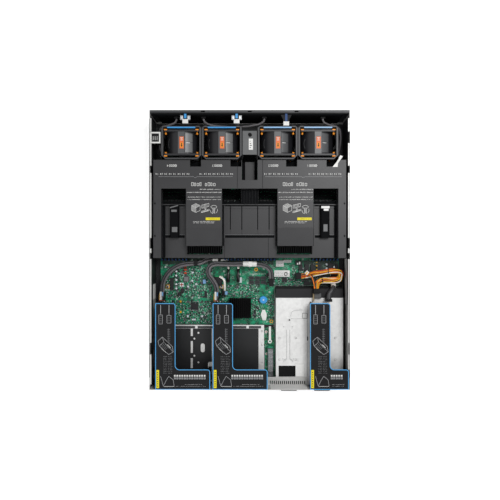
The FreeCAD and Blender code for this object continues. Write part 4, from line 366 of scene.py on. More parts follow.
def electronics():
    """Boards, components and cables."""
    c = settings()[0]
    # Green lacquer over a glass-epoxy board: even and semi-gloss, with the copper showing through
    solder_mask("green_solder_mask", c.board)
    # The same lacquer, nearly black as painted shade: on boards that stand in shade, and on patches of the
    # motherboard
    solder_mask("dark_solder_mask", [part * 0.14 for part in c.board])
    # Epoxy of chip packages: matt black
    moulded("chip_epoxy", linear("#17181a"), roughness=0.45, specular=0.25, grain=1.0, edge=0.15)
    # Fired ceramic of small capacitors: tan and dull
    moulded("ceramic_tan", linear("#a08d6c"), roughness=0.45, grain=1.0, edge=0.1)
    # Ferrite of coils: dark grey and matt
    moulded("ferrite_grey", linear("#4c5053"), roughness=0.55, specular=0.25, grain=1.0, edge=0.1)
    # Shrunk sleeve of round capacitors: pale and slightly shiny
    moulded("capacitor_sleeve", linear("#d9e2e6"), roughness=0.4, specular=0.35, grain=1.0, edge=0.1)
    # Dipped epoxy of power parts: brick red
    moulded("red_epoxy", linear("#a83a1e"), roughness=0.45, grain=1.0, edge=0.2)
    # Braided polyester sleeve: charcoal with a fine weave
    woven("woven_sleeve", c.sleeve)
    # The same sleeve, greyer, as a painted sheen: on one strand of each riser cable and on the front leads
    # and jumper
    woven("sheen_sleeve", linear("#454345"))
    # Extruded insulation of the wires: smooth and slightly shiny
    for name, code in (("orange", "#ee7d12"), ("yellow", "#efb41f"), ("red", "#b9301c"), ("white", "#e8e5dd"),
                       ("black", "#151516"), ("grey", "#77787a")):
        moulded(name + "_insulation", linear(code), roughness=0.35, specular=0.4, grain=2.0, edge=0.1)


FANS = (1, 2, 3, 4)
RISERS = (1, 2, 3)
SUPPLIES = (1, 2)
FINISHES = {
    "chassis_tray": "galvanised_steel", "rear_panel": "galvanised_steel",
    "front_bulkhead": "passivated_steel",
    # The drive backplane takes the black foam as painted shade in the deep front bay
    "drive_backplane": "closing_foam", "fan_cage": "black_nylon", "fan_bridge": "grey_nylon",
    "cable_grommet": "white_nylon", "motherboard": "green_solder_mask", "cpu_sockets": "nickel_plate",
    # The processor fins are painted nearly black as painted shade under the duct
    "cpu_heatsinks": "anodised_and_shaded_aluminium", "memory_sockets": "black_nylon",
    "memory_modules": "dark_solder_mask",
    "chipset_heatsink": "anodised_and_shaded_aluminium", "board_parts": "chip_epoxy", "board_plunger": "blue_acetal",
    "air_duct": "duct_abs", "capacitor_packs": "closing_foam", "io_shelf": "zinc_plated_steel",
    "shelf_insulators": "black_polypropylene", "network_card": "green_solder_mask",
    "card_lever": "white_nylon",
    "psu_cage": "zinc_plated_steel", "power_board": "charcoal_nylon", "rear_ports": "tin_plate",
    "cable_looms": "black_nylon", "wire_harness": "orange_insulation", "cable_plugs": "black_nylon",
    "cable_clips": "black_nylon",
}
for number in FANS:
    FINISHES["fan_%d_carrier" % number] = "carrier_polycarbonate"
    FINISHES["fan_%d_frame" % number] = "fan_polyester"
    FINISHES["fan_%d_rotor" % number] = "rotor_polyester"
    # Two release bars are paler as a painted sheen
    FINISHES["fan_%d_release" % number] = "blue_acetal" if number < 3 else "pale_blue_acetal"
for number in RISERS:
    FINISHES["riser_%d_cage" % number] = "riser_film"
    FINISHES["riser_%d_board" % number] = "dark_solder_mask"
    FINISHES["riser_%d_blanks" % number] = "zinc_plated_steel"
for number in SUPPLIES:
    FINISHES["psu_%d_case" % number] = "zinc_plated_steel"
    FINISHES["psu_%d_handle" % number] = "black_nylon"
    FINISHES["psu_%d_latch" % number] = "blue_acetal"


# Printed dashes: widths, gaps with a longer one between words, and the least share of the height
DASH_WIDTHS = (0.5, 1.3)
DASH_GAPS = (0.5, 0.6, 0.7, 2.0)
DASH_SHORTEST = 0.2


def at(corner, edges):
    """Edges of a rectangle or a box, in pairs along X, Y and Z, given from a corner."""
    return [corner[index // 2] + edge for index, edge in enumerate(edges)]


class Builder:
    """Collects faces in millimetres, each with the material in use, into one piece."""

    def __init__(self, material):
        self.mesh = bmesh.new()
        self.names = []
        self.use(material)

    def use(self, material):
        """Material of the faces added next."""
        if material not in self.names:
            self.names.append(material)
        self.index = self.names.index(material)
        return self

    def face(self, points, smooth=False):
        """Flat face from its corners."""
        face = self.mesh.faces.new([self.mesh.verts.new(point) for point in points])
        face.material_index = self.index
        face.smooth = smooth

    def join(self, rings, smooth):
        """Side faces between two closed rings of points, and a cap on each."""
        loops = [[self.mesh.verts.new(point) for point in ring] for ring in rings]
        faces = [self.mesh.faces.new(loops[0][::-1]), self.mesh.faces.new(loops[1])]
        count = len(loops[0])
        for here in range(count):
            there = (here + 1) % count
            side = self.mesh.faces.new([loops[0][here], loops[0][there], loops[1][there], loops[1][here]])
            side.smooth = smooth
            faces.append(side)
        for face in faces:
            face.material_index = self.index

    def prism(self, outline, z0, z1):
        """Upright prism over a plan given counter-clockwise."""
        self.join([[(x, y, z) for x, y in outline] for z in (z0, z1)], False)

    def block(self, x0, x1, y0, y1, z0, z1):
        """Box between two corners."""
        self.prism([(x0, y0), (x1, y0), (x1, y1), (x0, y1)], z0, z1)

    def pad(self, x, y, width, depth, z0, z1):
        """Box about a middle."""
        self.block(x - width / 2, x + width / 2, y - depth / 2, y + depth / 2, z0, z1)

    def sheet(self, x0, x1, y0, y1, z):
        """Flat rectangle facing up."""
        self.face([(x0, y0, z), (x1, y0, z), (x1, y1, z), (x0, y1, z)])

    def rod(self, start, end, radius, sides=16, end_radius=None):
        """Round bar or cone between two points."""
        start = Vector(start)
        end = Vector(end)
        axis = (end - start).normalized()
        side = axis.orthogonal().normalized()
        other = axis.cross(side)
        angles = [2 * math.pi * step / sides for step in range(sides)]
        sizes = (radius, radius if end_radius is None else end_radius)
        self.join([[place + (side * math.cos(a) + other * math.sin(a)) * size for a in angles]
                   for place, size in zip((start, end), sizes)], True)

    def band(self, outer, inner, z):
        """Flat band between two outlines with the same number of corners."""
        count = len(outer)
        for here in range(count):
            there = (here + 1) % count
            self.face([(*outer[here], z), (*outer[there], z), (*inner[there], z), (*inner[here], z)])

    def ring(self, x, y, z, inner, outer, sides=24):
        """Flat ring facing up."""
        turns = [2 * math.pi * step / sides for step in range(sides)]
        outlines = [[(x + size * math.cos(a),
                      y + size * math.sin(a)) for a in turns] for size in (outer, inner)]
        self.band(*outlines, z)

    def frame(self, x0, x1, y0, y1, width, z):
        """Flat open rectangle."""
        outlines = []
        for inset in (0, width):
            left, right, low, high = x0 + inset, x1 - inset, y0 + inset, y1 - inset
            outlines.append([(left, low), (right, low), (right, high), (left, high)])
        self.band(*outlines, z)

    def line(self, points, width, z):
        """Thin printed line through points of a plan."""
        for start, end in zip(points, points[1:]):
            a = Vector(start)
            b = Vector(end)
            across = (b - a).orthogonal().normalized() * width / 2
            self.face([(*(a - across), z), (*(b - across), z), (*(b + across), z), (*(a + across), z)])

    def dashes(self, x0, x1, y, height, z, rng):
        """Row of short upright marks that stands in for a printed line."""
        x = x0
        while x < x1:
            width = rng.uniform(*DASH_WIDTHS)
            self.sheet(x, x + width, y - height / 2, y + height / 2 * rng.uniform(DASH_SHORTEST, 1), z)
            x += width + rng.choice(DASH_GAPS)

    def lay(self, corner, rows):
        """Boxes, or sheets where a row has one height, from rows of a material and edges from a corner."""
        for material, *edges in rows:
            self.use(material)
            shape = self.block if len(edges) == 6 else self.sheet
            shape(*at(corner, edges))

    def digits(self, text, x, y, z, size):
        """Plain numbers that read from the front of the server."""
        curve = bpy.data.curves.new("number", "FONT")
        curve.body = text
        curve.size = size
        curve.align_x = "CENTER"
        curve.align_y = "CENTER"
        holder = bpy.data.objects.new("number", curve)
        flat = flattened(holder)
        bpy.data.curves.remove(curve)
        verts = [self.mesh.verts.new((x - v.co.x, y - v.co.y, z)) for v in flat.vertices]
        for polygon in flat.polygons:
            face = self.mesh.faces.new([verts[place] for place in polygon.vertices])
            face.material_index = self.index
        bpy.data.meshes.remove(flat)

    def data(self, name):
        """Mesh in metres of all the faces."""
        bmesh.ops.scale(self.mesh, vec=(MM, MM, MM), verts=self.mesh.verts)
        bmesh.ops.recalc_face_normals(self.mesh, faces=self.mesh.faces[:])
        data = bpy.data.meshes.new(name)
        self.mesh.to_mesh(data)
        self.mesh.free()
        for material in self.names:
            data.materials.append(MATERIALS[material])
        return data

    def done(self, name, body, slot, replaces=()):
        """Turn the faces into a piece that rides on a body."""
        return place(bpy.data.objects.new(name, self.data(name)), body, slot, replaces)


def flattened(holder):
    """Mesh of an object as evaluated; the object is removed."""
    bpy.context.scene.collection.objects.link(holder)
    graph = bpy.context.evaluated_depsgraph_get()
    data = bpy.data.meshes.new_from_object(holder.evaluated_get(graph))
    bpy.data.objects.remove(holder)
    return data


def place(piece, body, slot, replaces=()):
    """Link a piece, let it ride on a body and hide the parts that it replaces."""
    bpy.context.scene.collection.objects.link(piece)
    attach(piece, body)
    if replaces:
        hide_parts(*replaces)
    return piece


# Densest strewing of small parts per square metre, and the fineness of sleeves and paths
PART_DENSITY = 200000.0
SLEEVE_SIDES = 12
SLEEVE_STEP = 1.2
PATH_FINENESS = 16


def new_group(name, inputs):
    """Geometry node group with named inputs; returns the group and its input node."""
    group = bpy.data.node_groups.new(name, "GeometryNodeTree")
    group.interface.new_socket("Geometry", in_out="INPUT", socket_type="NodeSocketGeometry")
    group.interface.new_socket("Geometry", in_out="OUTPUT", socket_type="NodeSocketGeometry")
    for label, kind in inputs:
        group.interface.new_socket(label, in_out="INPUT", socket_type="NodeSocket" + kind)
    return group, add(group, "NodeGroupInput")


def end_group(group, geometry, material):
    """Real geometry with its material as the group's result."""
    real = add(group, "GeometryNodeRealizeInstances", {0: geometry})
    painted = add(group, "GeometryNodeSetMaterial", {"Geometry": real.outputs[0], "Material": material})
    add(group, "NodeGroupOutput", {0: painted.outputs[0]})


def strewn_parts_group():
    """Small upright blocks strewn over the faces of a mesh, squared up with it."""
    inputs = [("Spacing", "Float"), ("Smallest", "Vector"), ("Largest", "Vector"), ("Seed", "Int"),
              ("Material", "Material")]
    group, given = new_group("strewn_parts", inputs)
    seed = given.outputs["Seed"]
    points = add(group, "GeometryNodeDistributePointsOnFaces",
                 {"Mesh": given.outputs["Geometry"], "Distance Min": given.outputs["Spacing"],
                  "Density Max": PART_DENSITY, "Seed": seed}, distribute_method="POISSON")
    cube = add(group, "GeometryNodeMeshCube", {"Size": (1, 1, 1)})
    raised = add(group, "GeometryNodeTransform", {"Geometry": cube.outputs[0], "Translation": (0, 0, 0.5)})
    size = add(group, "FunctionNodeRandomValue",
               {0: given.outputs["Smallest"], 1: given.outputs["Largest"], "Seed": seed},
               data_type="FLOAT_VECTOR")
    quarter = add(group, "FunctionNodeRandomValue", {4: 0, 5: 1, "Seed": seed}, data_type="INT")
    angle = add(group, "ShaderNodeMath", {0: quarter.outputs[2], 1: math.pi / 2}, operation="MULTIPLY")
    euler = add(group, "ShaderNodeCombineXYZ", {2: angle.outputs[0]})
    spin = add(group, "FunctionNodeEulerToRotation", {0: euler.outputs[0]})
    copies = add(group, "GeometryNodeInstanceOnPoints",
                 {"Points": points.outputs[0], "Instance": raised.outputs[0], "Rotation": spin.outputs[0],
                  "Scale": size.outputs[0]})
    end_group(group, copies.outputs[0], given.outputs["Material"])


def repeated_piece_group():
    """One piece repeated at every point of a mesh."""
    group, given = new_group("repeated_piece", [("Piece", "Object"), ("Material", "Material")])
    source = add(group, "GeometryNodeObjectInfo", {"Object": given.outputs["Piece"]})
    copies = add(group, "GeometryNodeInstanceOnPoints",
                 {"Points": given.outputs["Geometry"], "Instance": source.outputs["Geometry"]})
    end_group(group, copies.outputs[0], given.outputs["Material"])


def sleeve_group():
    """Round sleeve along a path that notes how far along and how far round each point is."""
    group, given = new_group("sleeve", [("Radius", "Float"), ("Step", "Float"), ("Material", "Material")])
    even = add(group, "GeometryNodeResampleCurve",
               {"Curve": given.outputs["Geometry"], "Length": given.outputs["Step"]}, mode="LENGTH")
    run = add(group, "GeometryNodeSplineParameter")
    long = add(group, "GeometryNodeStoreNamedAttribute",
               {"Geometry": even.outputs[0], "Name": "run", "Value": run.outputs["Length"]}, domain="POINT")
    circle = add(group, "GeometryNodeCurvePrimitiveCircle",
                 {"Resolution": SLEEVE_SIDES, "Radius": given.outputs["Radius"]})
    turn = add(group, "GeometryNodeSplineParameter")
    about = add(group, "GeometryNodeStoreNamedAttribute",
                {"Geometry": circle.outputs[0], "Name": "turn", "Value": turn.outputs["Factor"]},
                domain="POINT")
    skin = add(group, "GeometryNodeCurveToMesh",
               {"Curve": long.outputs[0], "Profile Curve": about.outputs[0], "Fill Caps": True})
    smooth = add(group, "GeometryNodeSetShadeSmooth", {"Geometry": skin.outputs[0]})
    end_group(group, smooth.outputs[0], given.outputs["Material"])


def grown(host, group_name, values):
    """Plain mesh that a node group makes from a host object; the host is removed."""
    group = bpy.data.node_groups[group_name]
    modifier = host.modifiers.new("grow", "NODES")
    modifier.node_group = group
    for item in group.interface.items_tree:
        if item.in_out == "INPUT" and item.name in values:
            modifier[item.identifier] = values[item.name]
    data = flattened(host)
    if not data.polygons:
        raise RuntimeError("nothing grew with " + group_name)
    return data


def mesh_of(points, faces):
    """Mesh in metres from points in millimetres."""
    data = bpy.data.meshes.new("host")
    data.from_pydata([Vector(point) * MM for point in points], [], faces)
    return data


def strewn(name, body, slot, material, areas, spacing, smallest, largest, seed):
    """Small blocks strewn over rectangles (x0, x1, y0, y1, z)."""
    points = []
    for x0, x1, y0, y1, z in areas:
        points += [(x0, y0, z), (x1, y0, z), (x1, y1, z), (x0, y1, z)]
    faces = [range(start, start + 4) for start in range(0, len(points), 4)]
    data = grown(bpy.data.objects.new("host", mesh_of(points, faces)), "strewn_parts",
                 {"Spacing": spacing * MM, "Smallest": [v * MM for v in smallest],
                  "Largest": [v * MM for v in largest], "Seed": seed, "Material": MATERIALS[material]})
    return place(bpy.data.objects.new(name, data), body, slot)


def repeated(name, body, slot, material, model, points):
    """One model, drawn by a function on a form, repeated at points in millimetres."""
    form = Builder(material)
    model(form)
    source = bpy.data.objects.new("model", form.data("model"))
    bpy.context.scene.collection.objects.link(source)
    data = grown(bpy.data.objects.new("host", mesh_of(points, [])), "repeated_piece",
                 {"Piece": source, "Material": MATERIALS[material]})
    bpy.data.objects.remove(source)
    return place(bpy.data.objects.new(name, data), body, slot)


def curve_of(route, smooth):
    """Curve object with one open spline through or along a route in millimetres."""
    curve = bpy.data.curves.new("path", "CURVE")
    curve.dimensions = "3D"
    curve.resolution_u = PATH_FINENESS
    spline = curve.splines.new("NURBS" if smooth else "POLY")
    spline.points.add(len(route) - 1)
    for target, point in zip(spline.points, route):
        target.co = (*(Vector(point) * MM), 1)
    if smooth:
        spline.order_u = 3
        spline.use_endpoint_u = True
    return bpy.data.objects.new("path", curve)


def line_of(route):
    """Points in millimetres read from the smooth spline of a route."""
    data = flattened(curve_of(route, True))
    return [vertex.co / MM for vertex in data.vertices]


def sleeve(name, slot, material, line, radius, replaces=()):
    """Round sleeve along a line of points."""
    data = grown(curve_of(line, False), "sleeve",
                 {"Radius": radius * MM, "Step": SLEEVE_STEP * MM, "Material": MATERIALS[material]})
    return place(bpy.data.objects.new(name, data), "chassis", slot, replaces)


def cable(name, slot, material, line, radius, replaces=()):
    """Sleeve along a line of points, for a cord that goes back into the server."""
    piece = sleeve(name, slot, material, line, radius, replaces)
    return piece


def beside(line, side, rise=0.0, turns=0.0, start=0.0):
    """Line that runs beside another, at a distance to the side and upwards, and may wind about it."""
    result = []
    for index, point in enumerate(line):
        ahead = line[min(index + 1, len(line) - 1)] - line[max(index - 1, 0)]
        left = ahead.cross(Vector((0, 0, 1))).normalized()
        up = left.cross(ahead).normalized()
        a = start + turns * 2 * math.pi * index / (len(line) - 1)
        across = side * math.cos(a) - rise * math.sin(a)
        high = side * math.sin(a) + rise * math.cos(a)
        result.append(point + left * across + up * high)
    return result


class SERVER_OT_finishes(bpy.types.Operator):
    """Make every material and node group and paint the CAD nodes"""
    bl_idname = "server.finishes"
    bl_label = "Finishes"

    def execute(self, context):
        for make in (sheet_metals, plastics, prints, electronics):
            make()
        for make in (strewn_parts_group, repeated_piece_group, sleeve_group):
            make()
        for node, finish in FINISHES.items():
            data = NODES[node].data
            data.materials.clear()
            data.materials.append(MATERIALS[finish])
        return {"FINISHED"}


# Tray: thickness of its sheet, of its films of painted shade and of its white strips of painted light, and
# lift of the films on its rim
SHEET = 1.2
FILM = 0.25
STRIP = 0.3
RIM_LIFT = 0.03
# Films of painted shade on the walls: bottom, distances from the tray's rim, front and rear, splits along Y
# and bare bands
FILM_LOW = 4
FILM_RIM_GAP = 8
FILM_FRONT_GAP = 11
FILM_REAR_GAP = 4
LEFT_BREAK = -78
LEFT_BAND = (14, 48)
RIGHT_BREAK = -20
RIGHT_BAND = (26, 52)
RIGHT_REAR_TOP = 32
# Films of painted shade on the floor: depth at the front and width along each wall. Film of painted shade on
# the backplane's face: its gaps
FRONT_FLOOR = 113
SIDE_FLOOR = 13
BACKPLANE_GAP = 1.2
BACKPLANE_SIDE_GAP = 1.6
BACKPLANE_LOW = 3
BACKPLANE_RIM_GAP = 1.4
# Ends of the painted shade on the walls' cut edges, the film on the front flange, and the white strips of
# painted light beside the board
EDGE_GAPS = (28, 19)
FLANGE_SIDE_GAP = 2.4
FLANGE_FILM = (7, 4.4)
LEFT_STRIP = (-113, -79, 18, 46)
RIGHT_STRIP = (28, 50)


class SERVER_OT_wall_shade_films(bpy.types.Operator):
    """Black films of painted shade on the tray's inner walls, front floor and rim, and white strips of
    painted light on the walls
    """
    bl_idname = "server.wall_films"
    bl_label = "Wall films"

    def execute(self, context):
        x0, x1, y0, y1, z0, z1 = span("chassis_tray")
        step = span("power_board")[2]
        left = x0 + SHEET
        right = x1 - SHEET - FILM
        rear = y0 + FILM_REAR_GAP
        front = y1 - FILM_FRONT_GAP
        high = z1 - FILM_RIM_GAP
        # Black films where the walls, the front floor and the backplane's face lie in shade: painted shade
        form = Builder("black_polypropylene")
        for x, start, end, low, top in (
                (left, LEFT_BREAK, front, FILM_LOW, high),
                (left, rear, LEFT_BREAK, FILM_LOW, LEFT_BAND[0]),
                (left, rear, LEFT_BREAK, LEFT_BAND[1], high),
                (right, RIGHT_BREAK, front, FILM_LOW, high),
                (right, rear, step, FILM_LOW, RIGHT_REAR_TOP),
                (right, step, RIGHT_BREAK, FILM_LOW, RIGHT_BAND[0]),
                (right, step, RIGHT_BREAK, RIGHT_BAND[1], high)):
            form.block(x, x + FILM, start, end, low, top)
        floor = y1 - FRONT_FLOOR
        form.block(x0 + SHEET, x1 - SHEET, floor, front, SHEET, SHEET + FILM)
        for start, end in ((x0 + SHEET, x0 + SIDE_FLOOR), (x1 - SIDE_FLOOR, x1 - SHEET)):
            form.block(start, end, step, floor, SHEET, SHEET + FILM)
        face = span("drive_backplane")[3] + BACKPLANE_GAP
        form.block(x0 + BACKPLANE_SIDE_GAP, x1 - BACKPLANE_SIDE_GAP, face, face + FILM, BACKPLANE_LOW,
                      z1 - BACKPLANE_RIM_GAP)
        form.done("wall_films", "chassis", "black_plastic")
        self.rim(x0, x1, y0, y1, z1 + RIM_LIFT, step)
        return {"FINISHED"}

    def rim(self, x0, x1, y0, y1, z, step):
        """Painted shade on the walls' cut edges, film on the front flange, and white strips of painted light
        on the walls.
        """
        form = Builder("black_polypropylene")
        for x in (x0, x1 - SHEET):
            form.sheet(x, x + SHEET, y0 + EDGE_GAPS[0], y1 - EDGE_GAPS[1], z)
        form.sheet(x0 + FLANGE_SIDE_GAP, x1 - FLANGE_SIDE_GAP, y1 - FLANGE_FILM[0], y1 - FLANGE_FILM[1], z)
        # White strips on the walls beside the board: painted light
        form.use("white_sticker").block(x0 + SHEET, x0 + SHEET + STRIP, *LEFT_STRIP)
        form.block(x1 - SHEET - STRIP, x1 - SHEET, step, RIGHT_BREAK, *RIGHT_STRIP)
        form.done("rim_lines", "chassis", "zinc_steel")


# Isolator pins: places from the fan's middle, and for each end its direction, near reach and far reach
PIN_X = 35
PIN_Z = 35.75
PIN_ENDS = (("front", 1, 18.2, 29.8), ("rear", -1, 20.9, 31.1))
PIN_RADIUS = 0.6
PIN_TIP = 1
KNOB_RADIUS = 2.3
KNOB_LENGTH = 3.8
HEAD_DEPTH = 2.6
HEAD_HALF = 3.4
HEAD_HEIGHT = (-2.6, 4.4)
# Label on the fan's pad, from the fan's middle, and the prints on it, from its top
PAD_FILM = (-7.4, 7.4, -24.2, 24.2, 0, 0.06)
PAD_LABEL = (-4, 5.6, -13.4, 13)
PAD_PRINTS = (("white_ink", -2.2, 3.8, 9.9, 11.1, 0.02), ("white_ink", -1.0, 2.6, 7.4, 8.6, 0.02),
              ("white_ink", -2.0, 3.6, 4.8, 6.0, 0.02), ("orange_silicone", -2.4, 4, -10.6, -0.4, 0.02),
              ("black_ink", -0.2, 1.8, -7, -1.2, 0.04))
ARROW_HEAD = ((-1.4, -6.6, 0.04), (0.8, -9.8, 0.04), (3.0, -6.6, 0.04))
# Round barrel: reach, the panel's turn in degrees, and for each print its ends along Y, lift and stretch
BARREL_REACH = 39.45
PANEL_START = 12.6
PANEL_TURN = 25.0
PANEL_STEPS = 8
PANEL_PRINTS = (("panel", -21, 21, 0.0, slice(None)), ("white_ink", -0.6, 0.6, 0.05, slice(1, 6)),
                ("black_ink", 1.4, 2.0, 0.05, slice(None)))
# Painted highlight along the left of the barrel: turn and bow in degrees, start and step along Y, width in
# radians
GLINT_TURN = -46
GLINT_BOW = 5
GLINT_STEPS = 8
GLINT_START = 10
GLINT_PITCH = 2.6
GLINT_WIDTH = 0.03
# Finger edge of a release bar: depth, height and lift
GRIP_DEPTH = 1.3
GRIP_HEIGHT = 2
GRIP_LIFT = 0.1


class SERVER_OT_fan_trim(bpy.types.Operator):
    """Rubber isolators, labels and finger edges of the four fans"""
    bl_idname = "server.fan_trim"
    bl_label = "Fan trim"

    def execute(self, context):
        for number in FANS:
            x0, x1, y0, y1, z0, z1 = span("fan_%d_frame" % number)
            middle = ((x0 + x1) / 2, (y0 + y1) / 2, (z0 + z1) / 2)
            self.isolators(number, *middle)
            self.labels(number, *middle, z1)
            self.grip(number)
        return {"FINISHED"}

    def isolators(self, number, x, y, z):
        """Pins through the corner holes with a flat head outside and a knob inside."""
        points = [(x + dx, y, z + dz) for dx in (-PIN_X, PIN_X) for dz in (-PIN_Z, PIN_Z)]
        for name, end, near, far in PIN_ENDS:
            def model(form):
                form.rod((0, end * near, 0), (0, end * (far - PIN_TIP), 0), PIN_RADIUS)
                form.rod((0, end * near, 0), (0, end * (near + KNOB_LENGTH), 0), KNOB_RADIUS)
                head = sorted((end * (far - HEAD_DEPTH), end * far))
                form.block(-HEAD_HALF, HEAD_HALF, *head, *HEAD_HEIGHT)
            repeated("fan_%d_isolators_%s" % (number, name), "fan_%d_module" % number, "blue_plastic",
                     "orange_silicone", model, points)

    def labels(self, number, x, y, z, top):
        """Film and orange label on the pad, then the prints on the barrel."""
        form = Builder("slate_sticker")
        form.block(*at((x, y, top), PAD_FILM))
        high = top + settings()[1].label_lift / MM
        form.use("orange_sticker").block(*at((x, y), PAD_LABEL), top, high)
        form.lay((x, y, high), PAD_PRINTS)
        form.face([(x + dx, y + dy, high + dz) for dx, dy, dz in ARROW_HEAD])
        self.barrel(form, x, y, z, "grey_sticker" if number < 3 else "slate_sticker")
        form.done("fan_%d_labels" % number, "fan_%d_module" % number, "blue_plastic")

    def barrel(self, form, x, y, z, panel):
        """Panel with two lines on the right of the barrel, and a thin painted highlight on its left."""
        def patch(reach, corners):
            form.face([(x + reach * math.sin(turn), y + along, z + reach * math.cos(turn))
                          for turn, along in corners], True)
        steps = range(PANEL_STEPS + 1)
        turns = [math.radians(PANEL_START + PANEL_TURN * step / PANEL_STEPS) for step in steps]
        for material, low, high, lift, part in PANEL_PRINTS:
            form.use(panel if material == "panel" else material)
            for a, b in zip(turns[part], turns[part][1:]):
                patch(BARREL_REACH + lift, ((a, low), (b, low), (b, high), (a, high)))
        # A thin line of faint ink as a painted highlight on the barrel's left
        form.use("faint_ink")
        glint = [(math.radians(GLINT_TURN - GLINT_BOW * math.sin(math.pi * step / GLINT_STEPS)),
                 GLINT_START - GLINT_PITCH * step) for step in range(GLINT_STEPS + 1)]
        for (a, start), (b, end) in zip(glint, glint[1:]):
            patch(BARREL_REACH, ((a, start), (b, end), (b + GLINT_WIDTH, end), (a + GLINT_WIDTH, start)))

    def grip(self, number):
        """Dark finger edge along the release bar."""
        x0, x1, y0, y1, z0, z1 = span("fan_%d_release" % number)
        form = Builder("carrier_polycarbonate")
        form.block(x0, x1, y1 - GRIP_DEPTH, y1 + GRIP_LIFT, z1 - GRIP_HEIGHT, z1 + GRIP_LIFT)
        form.done("fan_%d_grip" % number, "fan_%d_release" % number, "black_plastic")


# Fan bridge, from its rear edge and top: label, and the widths, first place and pitch of its bars
BRIDGE_LABEL = (-2, 7.3, 10.8, 35.6, 0, 0.25)
BRIDGE_BARS = (2.2, 4.4, 3.0, 1.6)
BRIDGE_BAR = (15, 16.6, 0.3)
BRIDGE_BAR_PITCH = 4.6
# Dark ring of the bridge, from its front edge and top: place and radii
BRIDGE_RING = (0.6, -9, 0.1)
BRIDGE_RING_RADII = (2.6, 4.4)
# Insert of the cable grommet: wall round it, bottom and top, and the first of its ribs with their ends
GROMMET_WALL = 3.6
GROMMET_FLOOR = (-1, 1.5)
GROMMET_RIBS = 3
GROMMET_RIB = (6, 7)
GROMMET_RIB_PITCH = 4.4
GROMMET_RIB_GAPS = (7, 9)
GROMMET_RIB_HEIGHT = 0.3
# Ribbons over the backplane: place, material, reach behind the backplane and distance of the plug
RIBBONS = ((-143, "blue_acetal", 8, 13), (-29, "blue_acetal", 8, 13), (81, "deep_blue_nylon", 15, 18))
RIBBON_HALF = 2.6
RIBBON_TOP = (1.25, 1.7)
RIBBON_FACE = (0.1, 0.9)
RIBBON_DROP = -12
# From the plug's place: plug and its lip. From the backplane's rear and top: ears and the line round them
RIBBON_PLUG = (("white_nylon", -6.3, 6.3, -6, 0, -4, 1.8), ("white_nylon", -6.3, 6.3, -6, 3, 1.2, 1.9))
RIBBON_EARS = (("tin_plate", -11, -5, -11, -2, -6, 1.4), ("tin_plate", 5, 11, -11, -2, -6, 1.4))
EAR_FRAME = (-10.2, 10.2, -10.2, -2.8)
EAR_LINE = 0.6
EAR_LINE_LIFT = 1.45


class SERVER_OT_front_trim(bpy.types.Operator):
    """Label on the fan bridge, grommet insert, ribbons and their plugs"""
    bl_idname = "server.front_trim"
    bl_label = "Front trim"

    def execute(self, context):
        self.bridge()
        self.grommet()
        self.ribbons()
        return {"FINISHED"}

    def bridge(self):
        """Label with bars, and a dark ring."""
        x0, x1, y0, y1, z0, z1 = span("fan_bridge")
        form = Builder("white_sticker")
        form.block(*at((0, y0, z1), BRIDGE_LABEL))
        form.use("black_ink")
        for step, width in enumerate(BRIDGE_BARS):
            form.sheet(*at((0, y0 + BRIDGE_BAR_PITCH * step, z1), (0, width, *BRIDGE_BAR)))
        x, gap, lift = BRIDGE_RING
        form.use("black_nylon").ring(x, y1 + gap, z1 + lift, *BRIDGE_RING_RADII)
        form.done("bridge_label", "chassis", "white_plastic")

    def grommet(self):
        """Black floor of the grommet with white ribs on it."""
        x0, x1, y0, y1, z0, z1 = span("cable_grommet")
        low, high = [z0 + height for height in GROMMET_FLOOR]
        form = Builder("black_nylon")
        form.block(x0 + GROMMET_WALL, x1 - GROMMET_WALL, y0 + GROMMET_WALL, y1 - GROMMET_WALL, low, high)
        form.use("white_nylon")
        for step in range(GROMMET_RIBS):
            left, right = [x0 + edge + GROMMET_RIB_PITCH * step for edge in GROMMET_RIB]
            form.block(left, right, y0 + GROMMET_RIB_GAPS[0], y1 - GROMMET_RIB_GAPS[1], high,
                          high + GROMMET_RIB_HEIGHT)
        form.done("grommet_insert", "chassis", "white_plastic")

    def ribbons(self):
        """Flat blue cables over the backplane, their eared headers and white plugs."""
        x0, x1, y0, y1, z0, z1 = span("drive_backplane")
        low, high = [z1 + height for height in RIBBON_TOP]
        start, end = [y1 + gap for gap in RIBBON_FACE]
        form = Builder("blue_acetal")
        for x, ribbon, reach, away in RIBBONS:
            form.use(ribbon).block(x - RIBBON_HALF, x + RIBBON_HALF, y0 - reach, end, low, high)
            form.block(x - RIBBON_HALF, x + RIBBON_HALF, start, end, z1 + RIBBON_DROP, high)
            form.lay((x, y0 - away, z1), RIBBON_PLUG)
            if ribbon == "blue_acetal":
                form.lay((x, y0, z1), RIBBON_EARS)
                form.use("black_ink").frame(*at((x, y0), EAR_FRAME), EAR_LINE, z1 + EAR_LINE_LIFT)
        form.done("ribbons", "chassis", "cable_sleeve")


